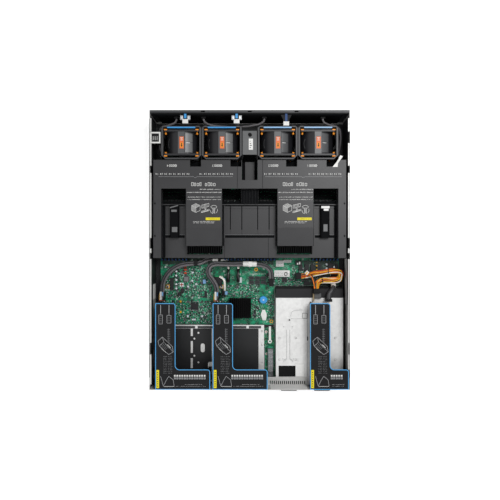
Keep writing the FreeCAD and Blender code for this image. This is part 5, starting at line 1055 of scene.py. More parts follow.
class SERVER_OT_duct_print(bpy.types.Operator):
    """Guide prints, yellow strips, black blocks of painted shade and pack labels on the air duct"""
    bl_idname = "server.duct_print"
    bl_label = "Duct print"

    def execute(self, context):
        x0, x1, y0, y1, z0, top = span("air_duct")
        z = top + settings()[1].print_lift / MM
        rng = random.Random(5)
        form = Builder("white_ink")
        for number, x in zip("4321", (-174, -73, 52, 138.5)):
            form.digits(number, x - 9, 188, z, 7)
            form.ring(x + 9, 188, z, 1.9, 2.8, 16)
            for turn in range(3):
                a = turn * 2 * math.pi / 3
                form.line([(x + 9, 188), (x + 9 + 2 * math.sin(a), 188 + 2 * math.cos(a))], 0.8, z)
            for dx in (4.4, 0.2, -4.0):
                form.frame(x + dx - 1.5, x + dx + 1.5, 185.6, 190.4, 0.8, z)
        for start, end in ((-211, -132), (-113, -35), (31, 110), (130, 206)):
            for step in range(8):
                x = start + (step + 0.5) * (end - start) / 8
                form.digits(str(step % 4 + 1), x + 1.4, 169.4, z, 5.4)
                form.face([(x - 3.2, 171.4, z), (x - 1, 169.4, z), (x - 3.2, 167.4, z)])
        form.use("grey_ink")
        for start, end, notch in ((-203, -38, -121), (34, 205, 119)):
            form.line([(start, 163.4), (notch - 4, 163.4), (notch, 160.6), (notch + 4, 163.4), (end, 163.4)],
                      0.5, z)
        form.use("white_ink")
        for start in (-130, 74):
            for step in (0, 1, 2, 3, 5, 6, 7, 8):
                x = start + 6.1 * step
                form.frame(x, x + 4.8 - step % 2, 142.6, 150.6 - (step % 3) * 0.8, 0.9, z)
        for left in (-142, 62):
            self.plate(form, left, z, rng)
        form.use("closing_foam")
        for x in (x0 + 3.8, x1 - 3.8):
            for y in (103.8, 31.3):
                form.rod((x, y, top - 0.2), (x, y, top + 0.3), 2.0, 14)
        for x in (-28, 28.2):
            form.sheet(x, x + 0.8, 138, 200.5, z)
        form.done("duct_print", "air_duct", "black_plastic")
        # Black blocks behind the centre ribs and under the centre pocket, as painted shade
        form = Builder("closing_foam")
        form.block(-19.4, 19.4, 104.2, 136.6, 60, 64.1)
        form.block(-17.2, 17.2, 156.2, 200.4, 40, 44.6)
        # Black pockets under the fan windows, as painted shade
        for x in (-121, -31, 93, 183):
            form.block(x - 13.5, x + 13.5, 185, 200.4, 58, 59)
            form.block(x - 13.5, x + 13.5, 184.2, 185, 58, 78)
            for side in (x - 13.5, x + 12.7):
                form.block(side, side + 0.8, 185, 200.4, 59, 78)
        for x in (-44, -18, 18, 44):
            form.block(x - 1, x + 1, 46.4, 99, 55.2, 56)
        # Black strips over the deck's two rows of slots and a lip of foam ahead of them, all painted shade;
        # the grey strip beside the rear row is a painted highlight on the step's edge
        for left, right in ((-191.5, -148), (-56, 56), (148, 191.5)):
            form.use("closing_foam").block(left, right, 99.4, 101.9, 54, 55.6)
            form.block(left, right, 27.5, 33.8, 54, 55.6)
            form.use("duct_abs").block(left, right, 93.9, 99.4, 54, 55.95)
            form.use("slate_sticker").block(left, right, 33.8, 35.5, 54, 56.2)
        form.use("closing_foam")
        for left, right in ((-197, -142.4), (-61.6, -19.8), (19.8, 61.6), (142.4, 197)):
            form.block(left, right, 104, 111, 50, 55)
        # Painted shade at the foot of the two plates and along the side rails, and the seams of the rear deck
        for left in (-145.4, -61.8, 58.4, 142.2):
            form.block(left, left + 3.2, 9, 102, 55.9, 56.05)
        for left in (-58, 42):
            form.block(left, left + 0.7, -17.6, 27, 55.9, 56.05)
        for x in (x0 + 17.6, x1 - 23.4):
            form.block(x, x + 5.8, y0 + 0.4, 103, 55.9, 56.1)
        form.use("duct_abs")
        for step in range(7):
            form.sheet(-19.3 + 6.4 * step, -19.1 + 6.4 * step, 104.4, 136.4, 64.2)
        form.use("grey_sticker").block(-10.6, 10.6, 157, 200, 47, 47.1)
        form.done("duct_foam", "air_duct", "black_plastic")
        form = Builder("white_nylon")
        form.prism([(201.5, 211), (193.5, 196.2), (184, 184.7), (196, 185), (196.4, 193),
                    (207.6, 208.7)][::-1], top + 0.1, top + 0.9)
        form.done("duct_tab", "air_duct", "white_plastic")
        self.packs()
        return {"FINISHED"}

    def plate(self, form, left, z, rng):
        """Lines of dashes, three step pictures and a strip on one raised plate."""
        form.use("white_ink")
        for y, start, end, height in ((135.2, 31, 78, 1.8), (128.5, 2, 78, 2.0), (118, 4, 77, 1.8),
                                      (112.5, 4, 77, 1.6),
                                      (63.6, 16, 65, 1.6), (60.6, 16, 62, 1.4)):
            form.dashes(left + start, left + end, y, height, z, rng)
        # A block with fins, a card over its socket, and a screw with its turning arrow
        self.sketch(form, left + 22, 93, 9.5, z, (
            ((-1, -0.5), (0, -1), (1, -0.5), (1, 0.6), (0, 1.1), (-1, 0.6), (-1, -0.5)),
            ((-1, 0.6), (0, 0.1), (1, 0.6)),
            ((0, 0.1), (0, -1)), ((-0.8, 0.5), (0.2, 1.0)), ((-0.6, 0.4), (0.4, 0.9)),
            ((-0.4, 0.3), (0.6, 0.8)),
            ((-0.2, 0.2), (0.8, 0.7)), ((-0.8, 0.45), (-0.8, -0.6)), ((-0.6, 0.35), (-0.6, -0.7)),
            ((-0.4, 0.25), (-0.4, -0.8)),
            ((-0.2, 0.15), (-0.2, -0.9))))
        self.sketch(form, left + 43, 92, 10, z, (
            ((-0.9, -0.9), (0.9, -0.4), (0.9, -0.1), (-0.9, -0.6), (-0.9, -0.9)),
            ((-0.8, 0.1), (0.8, 0.5), (0.8, 1.2), (-0.8, 0.8),
            (-0.8, 0.1)), ((0, -0.1), (0, 0.2)), ((-0.2, 0.05), (0, -0.25), (0.2, 0.05)),
            ((-0.5, 0.3), (-0.5, 0.8)),
            ((-0.2, 0.35), (-0.2, 0.9)), ((0.1, 0.45), (0.1, 1.0)), ((0.4, 0.5), (0.4, 1.05)),
            ((-0.7, -0.75), (0.7, -0.35))))
        self.sketch(form, left + 62, 90, 8.5, z, (
            ((-0.6, 0.4), (0.6, 0.4), (0.8, 0.8), (0.3, 1.1), (-0.3, 1.1), (-0.8, 0.8), (-0.6, 0.4)),
            ((-0.25, 0.4), (-0.25, -1.1)),
            ((0.25, 0.4), (0.25, -1.1)), ((-0.25, 0), (0.25, 0.15)), ((-0.25, -0.3), (0.25, -0.15)),
            ((-0.25, -0.6), (0.25, -0.45)),
            ((-0.25, -0.9), (0.25, -0.75)), ((-0.9, -0.2), (-0.7, -0.8), (-0.25, -1.1)),
            ((0.9, 0.2), (0.95, -0.4), (0.6, -0.9))))
        form.use("yellow_sticker").sheet(left + 44, left + 76, 66.5, 72.3, z)
        form.use("black_ink").dashes(left + 50, left + 74, 69.4, 1.6, z + 0.03, rng)

    def sketch(self, form, x, y, size, z, lines):
        """Line drawing from points on a unit plan."""
        form.use("white_ink")
        for line in lines:
            form.line([(x + size * u, y + size * v) for u, v in line], 0.75, z)

    def packs(self):
        """Straps and labels of the capacitor packs."""
        x0, x1, y0, y1, z0, top = span("capacitor_packs")
        form = Builder("grey_sticker")
        form.prism([(x0 + 0.5, y1 - 8), (x1 - 359.5 + 19, y1 - 2.6), (x1 - 359.5 + 19, y1 - 0.6),
                    (x0 + 0.5, y1 - 5.4)],
                      top, top + 0.4)
        form.block(x0 + 3.6, x0 + 15.8, y1 - 16, y1 - 11.2, top, top + 0.2)
        form.block(x0 + 5, x0 + 17, y0 + 12.6, y0 + 24, top, top + 0.2)
        form.use("white_sticker").block(x1 - 19, x1 - 0.4, y1 - 8, y1 - 3, top, top + 0.4)
        form.block(x1 - 13.5, x1 - 2.6, y1 - 13.6, y1 - 8.6, top, top + 0.3)
        form.use("faint_ink").sheet(x1 - 14, x1 - 5, y0 + 14, y0 + 30, top + 0.1)
        form.done("pack_labels", "air_duct", "black_plastic")


def rounded_outline(corners, steps=6):
    """Plan outline whose corners (x, y, radius) are rounded."""
    points = []
    for here, (x, y, radius) in enumerate(corners):
        corner = Vector((x, y))
        into = (Vector(corners[here - 1][:2]) - corner).normalized()
        out = (Vector(corners[(here + 1) % len(corners)][:2]) - corner).normalized()
        centre = corner + (into + out) * radius
        for step in range(steps + 1):
            a = math.pi / 2 * step / steps
            points.append(tuple(centre - out * radius * math.cos(a) - into * radius * math.sin(a)))
    return points


# Riser cover: width of its leg and depth of its foot, radii of its corners, and the border's gap
RISER_LEG = 45
SQUARE_CORNER = 0.6
ROUND_CORNER = 6
INNER_CORNER = 9
TIP_CORNER = 1.5
BORDER_GAP = 0.1
# Strip with its marks, from the cover's left rear corner
FILM_STRIP = (2.4, 8.6, 3.7, 44)
STRIP_MARK = (4.4, 6.4, 7, 9.4)
STRIP_MARKS = 7
STRIP_MARK_PITCH = 5
# Foot, from the leg: count and start of the columns, then the ends of the two dashed rows
LONG_FOOT = (13, -3.3, (21, 58), (1, 67))
SHORT_FOOT = (5, 1, (4, 30), (4, 30))
RISER_FEET = {1: LONG_FOOT, 2: LONG_FOOT, 3: SHORT_FOOT}
FOOT_ROWS = ((11.7, 1.2), (7.8, 1.0))
OVERPRINT = 0.03
COLUMN = (("white_ink", 0, 3.7, 29.2, 33, 0), ("grey_ink", 0, 3.9, 23.4, 27.4, 0),
          ("black_ink", 1.2, 2.6, 24.4, 26.4, OVERPRINT))
COLUMN_PITCH = 5.5
# Bent steel tab beside the first riser's foot, from the foot's right front corner and the cover's top
RISER_TAB = (("zinc_plated_steel", -6.4, 3.6, -1, 9, -36, -35),
             ("zinc_plated_steel", -6.4, -5.4, -1, 9, -35, -24))
# Line drawing, from the cover's left rear corner: ink, line width and points
RISER_DRAWING = (
    ("grey_ink", 1.3, ((12, 188), (12, 170))), ("grey_ink", 1.3, ((30.6, 188), (30.6, 170))),
    ("grey_ink", 0.8, ((8, 166), (16, 166), (16, 146), (8, 146), (8, 166))),
    ("grey_ink", 0.8, ((12, 170), (12, 166))), ("grey_ink", 0.8, ((30.6, 170), (30.6, 165))),
    ("grey_ink", 0.8, ((26, 165), (35, 165), (35, 148), (26, 148), (26, 165))),
    ("grey_ink", 0.8, ((6, 108), (16, 117), (38, 96), (40, 84), (30, 78), (9, 97), (6, 108))),
    ("grey_ink", 0.7, ((16, 117), (19, 106), (40, 84))), ("grey_ink", 0.7, ((19, 106), (9, 97))),
    ("white_ink", 1.6, ((14, 92), (24, 83))), ("white_ink", 1.2, ((27, 100), (34, 93))),
    ("grey_ink", 0.8, ((12, 30), (18, 8), (42, 8), (40, 22), (30, 30), (24, 20), (18, 8))),
    ("white_ink", 1.4, ((19, 7.6), (42, 7.6))), ("faint_ink", 0.8, ((29, 136), (29, 104))))
# Short strokes across the two plugs and the column of marks: line width, ends and places
RISER_STROKES = ((0.7, (9.4, 14.6), (162, 158, 154, 150)), (0.7, (27.4, 33.6), (161, 157, 153)),
                 (0.8, (27, 33), range(106, 136, 4)))
# Strokes on the card: count, line width and pitch, and the first one's ends with the rise to the next
CARD_STROKES = 4
CARD_STROKE = 0.7
CARD_STROKE_PITCH = 3
CARD_STROKE_ENDS = ((10, 99, 2.6), (20, 88, 1.2))
# Two columns of dashed rows under the card
TEXT_COLUMNS = ((18, 26), (29, 37))
TEXT_ROWS = 11
TEXT_TOP = 74
TEXT_PITCH = 3.7
TEXT_HEIGHT = 1.3


class SERVER_OT_riser_film(bpy.types.Operator):
    """Printed film with a blue border on each riser cover"""
    bl_idname = "server.riser_film"
    bl_label = "Riser film"

    def execute(self, context):
        for number in RISERS:
            self.film(number)
            if number == 1:
                self.tab()
        return {"FINISHED"}

    def film(self, number):
        """Border, strip, grid of marks and line drawing of one riser."""
        s = settings()[1]
        x0, x1, y0, y1, z0, top = span("riser_%d_cage" % number)
        leg = x0 + RISER_LEG
        foot = y0 + RISER_LEG
        z = top + s.print_lift / MM

        def outline(inset):
            left, right, low, high = x0 + inset, x1 - inset, y0 + inset, y1 - inset
            return rounded_outline([
                (left, low, SQUARE_CORNER), (right, low, SQUARE_CORNER),
                (right, foot - inset, ROUND_CORNER - inset),
                (leg - inset, foot - inset, INNER_CORNER + inset),
                (leg - inset, high, ROUND_CORNER - inset), (left, high, TIP_CORNER)])
        rng = random.Random(number)
        form = Builder("blue_ink")
        form.band(outline(BORDER_GAP), outline(BORDER_GAP + s.border_width / MM), z)
        form.use("yellow_sticker").sheet(*at((x0, y0), FILM_STRIP), z)
        form.use("black_ink")
        for step in range(STRIP_MARKS):
            form.sheet(*at((x0, y0 + STRIP_MARK_PITCH * step), STRIP_MARK), z + OVERPRINT)
        columns, first, *rows = RISER_FEET[number]
        for column in range(columns):
            form.lay((leg + first + column * COLUMN_PITCH, y0, z), COLUMN)
        form.use("grey_ink")
        for (start, end), (y, height) in zip(rows, FOOT_ROWS):
            form.dashes(leg + start, leg + end, y0 + y, height, z, rng)
        self.drawing(form, x0, y0, z, rng)
        form.done("riser_%d_film" % number, "riser_%d" % number, "black_paint")

    def drawing(self, form, x0, y0, z, rng):
        """Generic line drawing: two plugs on leads, a card, a column of marks and an open box."""
        strokes = list(RISER_DRAWING)
        for width, (start, end), rows in RISER_STROKES:
            strokes += [("faint_ink", width, ((start, y), (end, y))) for y in rows]
        for step in range(CARD_STROKES):
            line = [(x + CARD_STROKE_PITCH * step, y + rise * step) for x, y, rise in CARD_STROKE_ENDS]
            strokes.append(("faint_ink", CARD_STROKE, line))
        for material, width, line in strokes:
            form.use(material).line([(x0 + x, y0 + y) for x, y in line], width, z)
        form.use("faint_ink")
        for step in range(TEXT_ROWS):
            for start, end in TEXT_COLUMNS:
                form.dashes(x0 + start, x0 + end, y0 + TEXT_TOP - TEXT_PITCH * step, TEXT_HEIGHT, z, rng)

    def tab(self):
        """Bent steel tab of the first riser."""
        x0, x1, y0, y1, z0, top = span("riser_1_cage")
        form = Builder("zinc_plated_steel")
        form.lay((x1, y0 + RISER_LEG, top), RISER_TAB)
        form.done("riser_1_tab", "riser_1", "zinc_steel")


class SERVER_OT_board_parts(bpy.types.Operator):
    """Small parts, socket latches and labels on the motherboard"""
    bl_idname = "server.board_parts"
    bl_label = "Board parts"

    def execute(self, context):
        spacing = settings()[1].part_spacing / MM
        x0, x1, y0, y1, z0, top = span("motherboard")
        areas = [(x0 + 3, -84, -172, -120, top), (-80, -50, -172, -120, top), (5, 24, -160, -112, top),
                 (40, 57, -170, -112, top), (-196, -90, -112, -40, top), (-70, 22, -110, -82, top),
                 (36, 60, -82, -60, top),
                 (60, 106, -84, -64, top), (100, 126, -84, -40, top)]
        kinds = (("tan", "ceramic_tan", 2.4, (0.8, 0.5, 0.5), (1.9, 1.0, 1.0), 3),
                 ("black", "chip_epoxy", 1.8, (1.2, 0.9, 0.5), (5.5, 3.6, 1.4), 7),
                 ("tin", "tin_plate", 1.5, (0.6, 0.4, 0.3), (1.8, 1.0, 0.6), 11),
                 ("grey", "ferrite_grey", 4.4, (2.4, 2.4, 1.4), (6.5, 6.0, 3.0), 17),
                 ("pale", "capacitor_sleeve", 2.0, (0.8, 0.8, 0.4), (2.8, 1.8, 1.2), 23))
        for name, material, share, smallest, largest, seed in kinds:
            strewn("board_%s_parts" % name, "chassis", "circuit_board", material, areas, spacing * share,
                   smallest, largest, seed)
        self.cans(top)
        self.connectors(top)
        self.latches()
        self.labels(top)
        return {"FINISHED"}

    def cans(self, top):
        """Round capacitors with a bevelled top."""
        def can(form):
            form.rod((0, 0, 0), (0, 0, 5.5), 2.5, 16)
            form.rod((0, 0, 5.5), (0, 0, 5.9), 2.5, 16, 2.0)
        places = [(-172, y, top + 4) for y in (-50, -60, -70, -80, -90)]
        places += [(-134.4, -53.1, top), (-126, -80.4, top), (-144.8, -85.8, top), (-135, -72.6, top),
                   (181, -34, top),
                   (181, -43.4, top)]
        repeated("board_cans", "chassis", "circuit_board", "capacitor_sleeve", can, places)

    def connectors(self, top):
        """Coloured power parts, chips and small connectors: x, y, width, depth, height."""
        x0, x1 = span("motherboard")[:2]
        form = Builder("red_epoxy")
        for material, parts in (
                ("red_epoxy", ((-151.4, -39, 6, 4.4, 4.4), (-151.4, -46.4, 6, 4.4, 4.4),
                               (-151.4, -54.2, 6, 4.4, 4.4))),
                ("yellow_insulation", ((-162.8, -121.4, 4, 4, 3), (-162.8, -145.9, 4.4, 4.4, 3),
                                       (157, -29, 3, 3, 9),
                                       (157, -37, 3, 3, 9), (157, -46, 3, 3, 9))),
                ("pale_blue_acetal", ((-106, -74, 7.4, 9.4, 9.6), (-60.5, -68.6, 6, 5, 9))),
                ("green_nylon", ((-76, -61.6, 10, 1.8, 16),)),
                ("capacitor_sleeve", ((-22, -70.5, 6.6, 12.6, 7), (-160, -81.5, 9, 9, 5),
                                      (-100, -74, 4, 3, 6),
                                      (-131.6, -163.8, 9, 3.6, 3), (-112, -156, 4, 5, 3),
                                      (-146, -156, 4, 5, 3))),
                ("grey_sticker", ((-149, -68, 11, 11, 8.5),)),
                ("chip_epoxy", ((-183.4, -79.6, 8.6, 28, 3), (-158.4, -95.2, 9, 9, 4),
                                (-165, -104, 9, 7.6, 4), (-78, -71.5, 24, 17, 15),
                                (-104, -104, 6, 14, 1.6), (46, -58, 12, 8, 1.6),
                                (82, -70, 12, 12, 1.6), (114.8, -30.4, 14, 9, 12), (12, -150, 5, 18, 1.6),
                                (134, -62, 10, 16, 9), (150, -72, 12, 10, 6), (172, -60, 14, 18, 5),
                                (190, -38, 12, 14, 8),
                                (196, -62, 10, 14, 6), (172, -78, 16, 8, 5), (205, -44, 6, 20, 7),
                                (134, -78, 14, 8, 4))),
                ("white_nylon", ((116.6, -30.4, 3, 6, 12.4), (112, -32, 3, 4, 12.4))),
                # Patches of the nearly black lacquer, as painted shade: along the duct's rear edge and under
                # the harness
                ("dark_solder_mask", ((168, -54.5, 82, 58, 0.4), (-75, -26, 262, 16, 0.4)))):
            form.use(material)
            for x, y, width, depth, height in parts:
                form.pad(x, y, width, depth, top, top + height)
        # Lacquered tongue of the board over the card's connector, with the black slot behind it
        form.use("green_solder_mask").block(-4.4, 56.6, -175.6, -165.8, 13, 13.3)
        # Black sheets between the rows of memory, seen through the duct's windows: painted shade
        form.use("closing_foam")
        for step in range(5):
            form.block(x0 + 4, x1 - 4, 104 + 8 * step - (step == 0) * 10, 110.6 + 8 * step, top + 12,
                       top + 12.6)
        # Rims of the signal ports
        form.use("ferrite_grey")
        for x in (4, 18, 32):
            for y in (-76, -66):
                form.frame(x - 5.7, x + 5.7, y - 3.7, y + 3.7, 0.6, top + 6.05)
        form.use("red_epoxy").pad(-160, -81.5, 2.2, 8, top + 5, top + 5.2)
        form.pad(-160, -81.5, 8, 2.2, top + 5, top + 5.2)
        form.done("board_connectors", "chassis", "circuit_board")

    def latches(self):
        """Blue latch on the rear end of every memory socket, and chips on the modules."""
        x0, x1, y0, y1, z0, z1 = span("memory_sockets")
        lines = sorted({round(v.co.x / MM, 2) for v in NODES["memory_sockets"].data.vertices})
        starts = [line for line in lines if any(abs(line + 6.0 - other) < 0.03 for other in lines)]

        def latch(form):
            form.block(-1.8, 1.8, -1.6, 1.6, 0, 3.4)
            form.block(-1.4, 1.4, -0.8, 2.6, 3.4, 4.6)
        points = [(start + 3.0, y0 + 2.0, z1) for start in starts]
        repeated("memory_latches", "chassis", "blue_plastic", "deep_blue_nylon", latch, points)
        x0, x1, y0, y1, z0, z1 = span("memory_modules")
        faces = sorted({round(v.co.x / MM, 2) for v in NODES["memory_modules"].data.vertices})

        def chips(form):
            for step in range(9):
                y = y0 + 12 + step * (y1 - y0 - 24) / 8
                form.block(1.3, 2.3, y - 5.5, y + 5.5, z0 + 12, z0 + 26)
        repeated("memory_chips", "chassis", "circuit_board", "chip_epoxy", chips,
                 [(face, 0, 0) for face in faces[::2]])

    def labels(self, top):
        """Plain stickers and grounding rings on the board, and the plunger's metal core."""
        z = top + 0.3
        form = Builder("white_sticker")
        leaf = ((26, -152), (32, -170), (38, -170), (40, -152), (36, -141), (30, -141))
        form.face([(x, y, z + 0.4) for x, y in leaf])
        rng = random.Random(8)
        for material, x0, x1, y0, y1 in (
                ("white_sticker", 58, 94, -63, -48), ("white_ink", 62, 80, -39, -25),
                ("white_ink", 80, 98, -29.6, -23.4)):
            form.use(material).block(x0, x1, y0, y1, top, z + 1.6)
            for y in range(int(y0) + 3, int(y1) - 1, 4):
                form.use("faint_ink").dashes(x0 + 2, x1 - 2, y, 1.4, z + 1.65, rng)
        form.use("black_ink").ring(85, -56.6, z + 1.7, 2.4, 4.2)
        form.use("white_ink").dashes(0, 38, -56.6, 1.4, z, rng)
        form.use("faint_ink").frame(-140.6, -119.4, -142.6, -121.4, 1.1, z + 0.4)
        form.use("gold_plate").ring(15, -46, z + 0.5, 2.2, 4.4)
        form.ring(51, -168, 13.4, 2.2, 4.2)
        for x, y in ((-193.6, -86.1), (-66.4, -86.4)):
            form.use("gold_plate").block(x - 4.7, x + 4.7, y - 4.7, y + 4.7, top, z + 2)
            form.use("tin_plate").ring(x, y, z + 2.05, 1.8, 3.2)
            form.use("chip_epoxy").ring(x, y, z + 2.05, 0, 1.8)
        form.done("board_labels", "chassis", "white_plastic")
        x0, x1, y0, y1, z0, z1 = span("board_plunger")
        form = Builder("tin_plate")
        form.rod(((x0 + x1) / 2, (y0 + y1) / 2, z1), ((x0 + x1) / 2, (y0 + y1) / 2, z1 + 0.4), 1.8, 16)
        form.done("plunger_core", "board_plunger", "blue_plastic")


# Routes of the cables, the same as in the solids
RISER_1_ROUTE = ((-203, -98, 31), (-203, -80, 31), (-195, -60, 31), (-180, -44, 31), (-160, -34, 31),
                 (-136, -31, 31), (-113, -30, 31), (-99, -20, 28), (-84, -20, 28))
RISER_2_ROUTE = ((-76, -98, 39), (-76, -85, 39), (-86, -69, 39), (-97, -55, 39), (-95, -39, 39),
                 (-82, -31, 39), (-52, -33, 39), (-12, -32, 39), (14, -32.5, 39), (36, -36, 39),
                 (47, -45, 39), (50, -56, 39), (50, -66, 39))
FRONT_ROUTE = ((-165, 296, 64), (-165, 288, 64), (-182, 282, 61), (-203, 280, 54), (-209, 264, 45),
               (-209, 240, 34), (-206, 218, 22), (-203, 208, 18), (-203, 197, 18))
JUMPER_ROUTE = ((-104, 296, 64), (-104, 288, 64), (-84, 281, 60), (-45, 279, 57), (-5, 280, 57),
                (33, 286, 64), (33, 296, 64))
THICK_ROUTE = ((193, -79, 30), (193, -79, 39.5), (191.5, -84.5, 50.5), (186.5, -92, 58), (179, -100, 60),
               (179, -111, 60))
HARNESS_ROUTE = ((118, -60, 41), (127, -60, 41), (141, -53, 43), (161, -50, 45), (185, -48.5, 46),
                 (203, -49, 46), (209, -55, 46), (209, -63, 46), (203, -69, 47), (184, -70, 48),
                 (164, -67, 50), (152, -75.5, 52), (152, -88, 52))
CROSSING_ROUTE = ((147, -88, 55), (146.4, -79, 58), (144, -69, 59), (140, -59, 57), (134, -55, 51),
                  (126, -58, 47))
WHITE_ROUTE = ((-70, -62, 30), (-60, -66, 32), (-57.5, -78, 32), (-58, -94, 30))
# Radii of the cables, the stretches painted white as a highlight, and the stretch with a white wrap
LEAD_RADIUS = 2.5
LEAD_HIGHLIGHT_RADIUS = 2.9
LEAD_HIGHLIGHT_Y = (206, 219)
THICK_RADIUS = 5.5
THICK_HIGHLIGHT_RADIUS = 5.9
THICK_HIGHLIGHT_Z = (33, 50)
WHITE_RADIUS = 2.7
WRAP_X = (-16.5, 17)
WRAP_SHARE = 2.1
# Harness: colours of its wires, how far they lie from the bundle's line, and how far they wander
HARNESS_SEED = 14
WIRES = ("orange", "yellow", "red", "orange", "black", "orange", "white", "yellow", "orange", "black",
         "yellow", "white")
INNER_REACH = 2.4
OUTER_REACH = 5.0
WIRE_TURNS = 0.7
WIRE_WANDER = ((-3, 3), (-3, 3), (-1, 2))
CROSSINGS = (("orange", 0.0), ("black", 3.2))
# Plug of the crossing wires and its lock, by plan, bottom and top, and the black ties along the bundle
HARNESS_PLUG = ((131, -46.5), (125, -53), (130, -58), (136, -51.5))
HARNESS_PLUG_HEIGHT = (43, 51.4)
HARNESS_LOCK = ((126.4, -54.4), (128.4, -56.4), (133, -51.6), (131, -49.6))
HARNESS_LOCK_HEIGHT = (51.4, 52)
TIE_SHARES = (0.3, 0.86)
TIE_HALF = 0.9
TIE_RADIUS = 6.9
# White cap over the clip, wrap beside the duct, and the end of the first riser's cable
WHITE_WRAPS = (("white_nylon", -3.4, 5.4, -38, -26.6, 45.6, 46.1),
               ("white_nylon", -86, -73, -25.6, -20.4, 34, 36))
CABLE_END = ((-70, -23.4, 31.6), (-52, -22.6, 31.6))
CABLE_END_RADIUS = 2.4
# Plugs of the riser cables: place along X and top, then latch and tab, wires (start, end, radius) and foot
RISER_PLUGS = ((-203, 37), (-76, 45))
PLUG_LATCH = (("white_nylon", -4.4, -0.4, -115, -96, 0, 1.6), ("pale_blue_acetal", 0, 3.4, -106, -97, 0, 1.2))
PLUG_WIRES = (("grey_insulation", (1, -117.4, 1), (1.4, -106, 1), 1.0),
              ("black_insulation", (4, -117.4, 0.8), (4.2, -100, 0.8), 1.0),
              ("yellow_insulation", (-6, -117.4, -1), (-5.4, -100, -1), 0.9))
PLUG_FOOT = (("red_epoxy", -6.6, 6, -117.6, -116, -2, 1.4),)
# Short leads on the board: place along X, then material, start, end, radius and sides of each part
BOARD_LEADS = (-50, -27)
BOARD_LEAD = (("white_insulation", (0, -34, 30), (0.6, -48, 27), 2.4, 14),
              ("black_insulation", (0.6, -44, 28.4), (0, -72, 28.4), 3.1, 16))
WHITE_PLUG = (("pale_blue_acetal", -57.6, -51.6, -104, -96, 26, 31),
              ("black_nylon", -64.6, -57.6, -106, -94, 25, 32))


class SERVER_OT_cables(bpy.types.Operator):
    """Sleeved cables, leads and the coloured wire harness"""
    bl_idname = "server.cables"
    bl_label = "Cables"

    def execute(self, context):
        s = settings()[1]
        radius = s.sleeve_radius / MM
        for name, route in (("riser_1_cable", RISER_1_ROUTE), ("riser_2_cable", RISER_2_ROUTE)):
            line = line_of(route)
            for side, tag, material in ((-1, "inner", "woven_sleeve"), (1, "outer", "sheen_sleeve")):
                stands_for = ("cable_looms",) if route is RISER_1_ROUTE and side < 0 else ()
                cable("%s_%s" % (name, tag), "cable_sleeve", material, beside(line, side * radius), radius,
                      stands_for)
        # Too short and thick to hang loose
        sleeve("power_sleeve", "cable_sleeve", "woven_sleeve", line_of(THICK_ROUTE), THICK_RADIUS)
        right_route = [(-x, y, z) for x, y, z in FRONT_ROUTE]
        for name, route in (("front_lead_left", FRONT_ROUTE), ("front_lead_right", right_route),
                            ("front_jumper", JUMPER_ROUTE)):
            cable(name, "cable_sleeve", "sheen_sleeve", line_of(route), LEAD_RADIUS)
        # White stretches of the front leads: a painted highlight
        for name, route in (("front_lead_left_tip", FRONT_ROUTE), ("front_lead_right_tip", right_route)):
            tip = [point for point in line_of(route) if LEAD_HIGHLIGHT_Y[0] < point.y < LEAD_HIGHLIGHT_Y[1]]
            sleeve(name, "white_plastic", "white_insulation", tip, LEAD_HIGHLIGHT_RADIUS)
        cable("white_lead", "cable_sleeve", "white_insulation", line_of(WHITE_ROUTE), WHITE_RADIUS)
        wrapped = [point for point in line_of(RISER_2_ROUTE) if WRAP_X[0] < point.x < WRAP_X[1]]
        sleeve("riser_2_wrap", "white_plastic", "white_nylon", wrapped, WRAP_SHARE * radius)
        self.harness(s.wire_radius / MM)
        self.wraps()
        # White stretch of the power sleeve: a painted highlight
        tip = [point for point in line_of(THICK_ROUTE) if THICK_HIGHLIGHT_Z[0] < point.z < THICK_HIGHLIGHT_Z[1]]
        sleeve("power_sleeve_tip", "white_plastic", "white_insulation", tip, THICK_HIGHLIGHT_RADIUS)
        return {"FINISHED"}

    def harness(self, radius):
        """Loose bundle of thin coloured wires with black ties, and the plug of its crossing wires."""
        line = line_of(HARNESS_ROUTE)
        rng = random.Random(HARNESS_SEED)
        for index, name in enumerate(WIRES):
            reach = INNER_REACH if index % 3 == 0 else OUTER_REACH
            # Each wire wanders a little from the bundle's line between its ends
            inner = [Vector(point) + Vector([rng.uniform(*limits) for limits in WIRE_WANDER])
                     for point in HARNESS_ROUTE[2:-2]]
            own = line_of([*HARNESS_ROUTE[:2], *inner, *HARNESS_ROUTE[-2:]])
            wound = beside(own, reach, 0, WIRE_TURNS, index * 2 * math.pi / len(WIRES))
            cable("harness_wire_%d" % (index + 1), "coloured_wire", name + "_insulation", wound, radius,
                  ("wire_harness",) if index == 0 else ())
        # Two wires that cross over the bundle to its first plug
        for name, shift in CROSSINGS:
            route = [(x + shift, y, z) for x, y, z in CROSSING_ROUTE]
            cable("harness_crossing_" + name, "coloured_wire", name + "_insulation", line_of(route), radius,
                  ())
        form = Builder("white_nylon")
        form.prism(HARNESS_PLUG, *HARNESS_PLUG_HEIGHT)
        form.use("yellow_insulation").prism(HARNESS_LOCK, *HARNESS_LOCK_HEIGHT)
        form.use("black_insulation")
        for share in TIE_SHARES:
            index = int(share * len(line))
            ahead = (line[index + 1] - line[index - 1]).normalized() * TIE_HALF
            form.rod(line[index] - ahead, line[index] + ahead, TIE_RADIUS, sides=20)
        form.done("harness_ties", "chassis", "cable_sleeve")

    def wraps(self):
        """White wraps on the riser cables, wires at their plugs, and the short board leads."""
        form = Builder("white_nylon")
        form.lay((0, 0, 0), WHITE_WRAPS)
        form.rod(*CABLE_END, CABLE_END_RADIUS)
        for x, z in RISER_PLUGS:
            form.lay((x, 0, z), PLUG_LATCH)
            for material, *ends, radius in PLUG_WIRES:
                form.use(material).rod(*[(x + dx, y, z + dz) for dx, y, dz in ends], radius, sides=10)
            form.lay((x, 0, z), PLUG_FOOT)
        for x in BOARD_LEADS:
            for material, *ends, radius, sides in BOARD_LEAD:
                form.use(material).rod(*[(x + dx, y, z) for dx, y, z in ends], radius, sides)
        form.lay((0, 0, 0), WHITE_PLUG)
        form.done("cable_wraps", "chassis", "white_plastic")
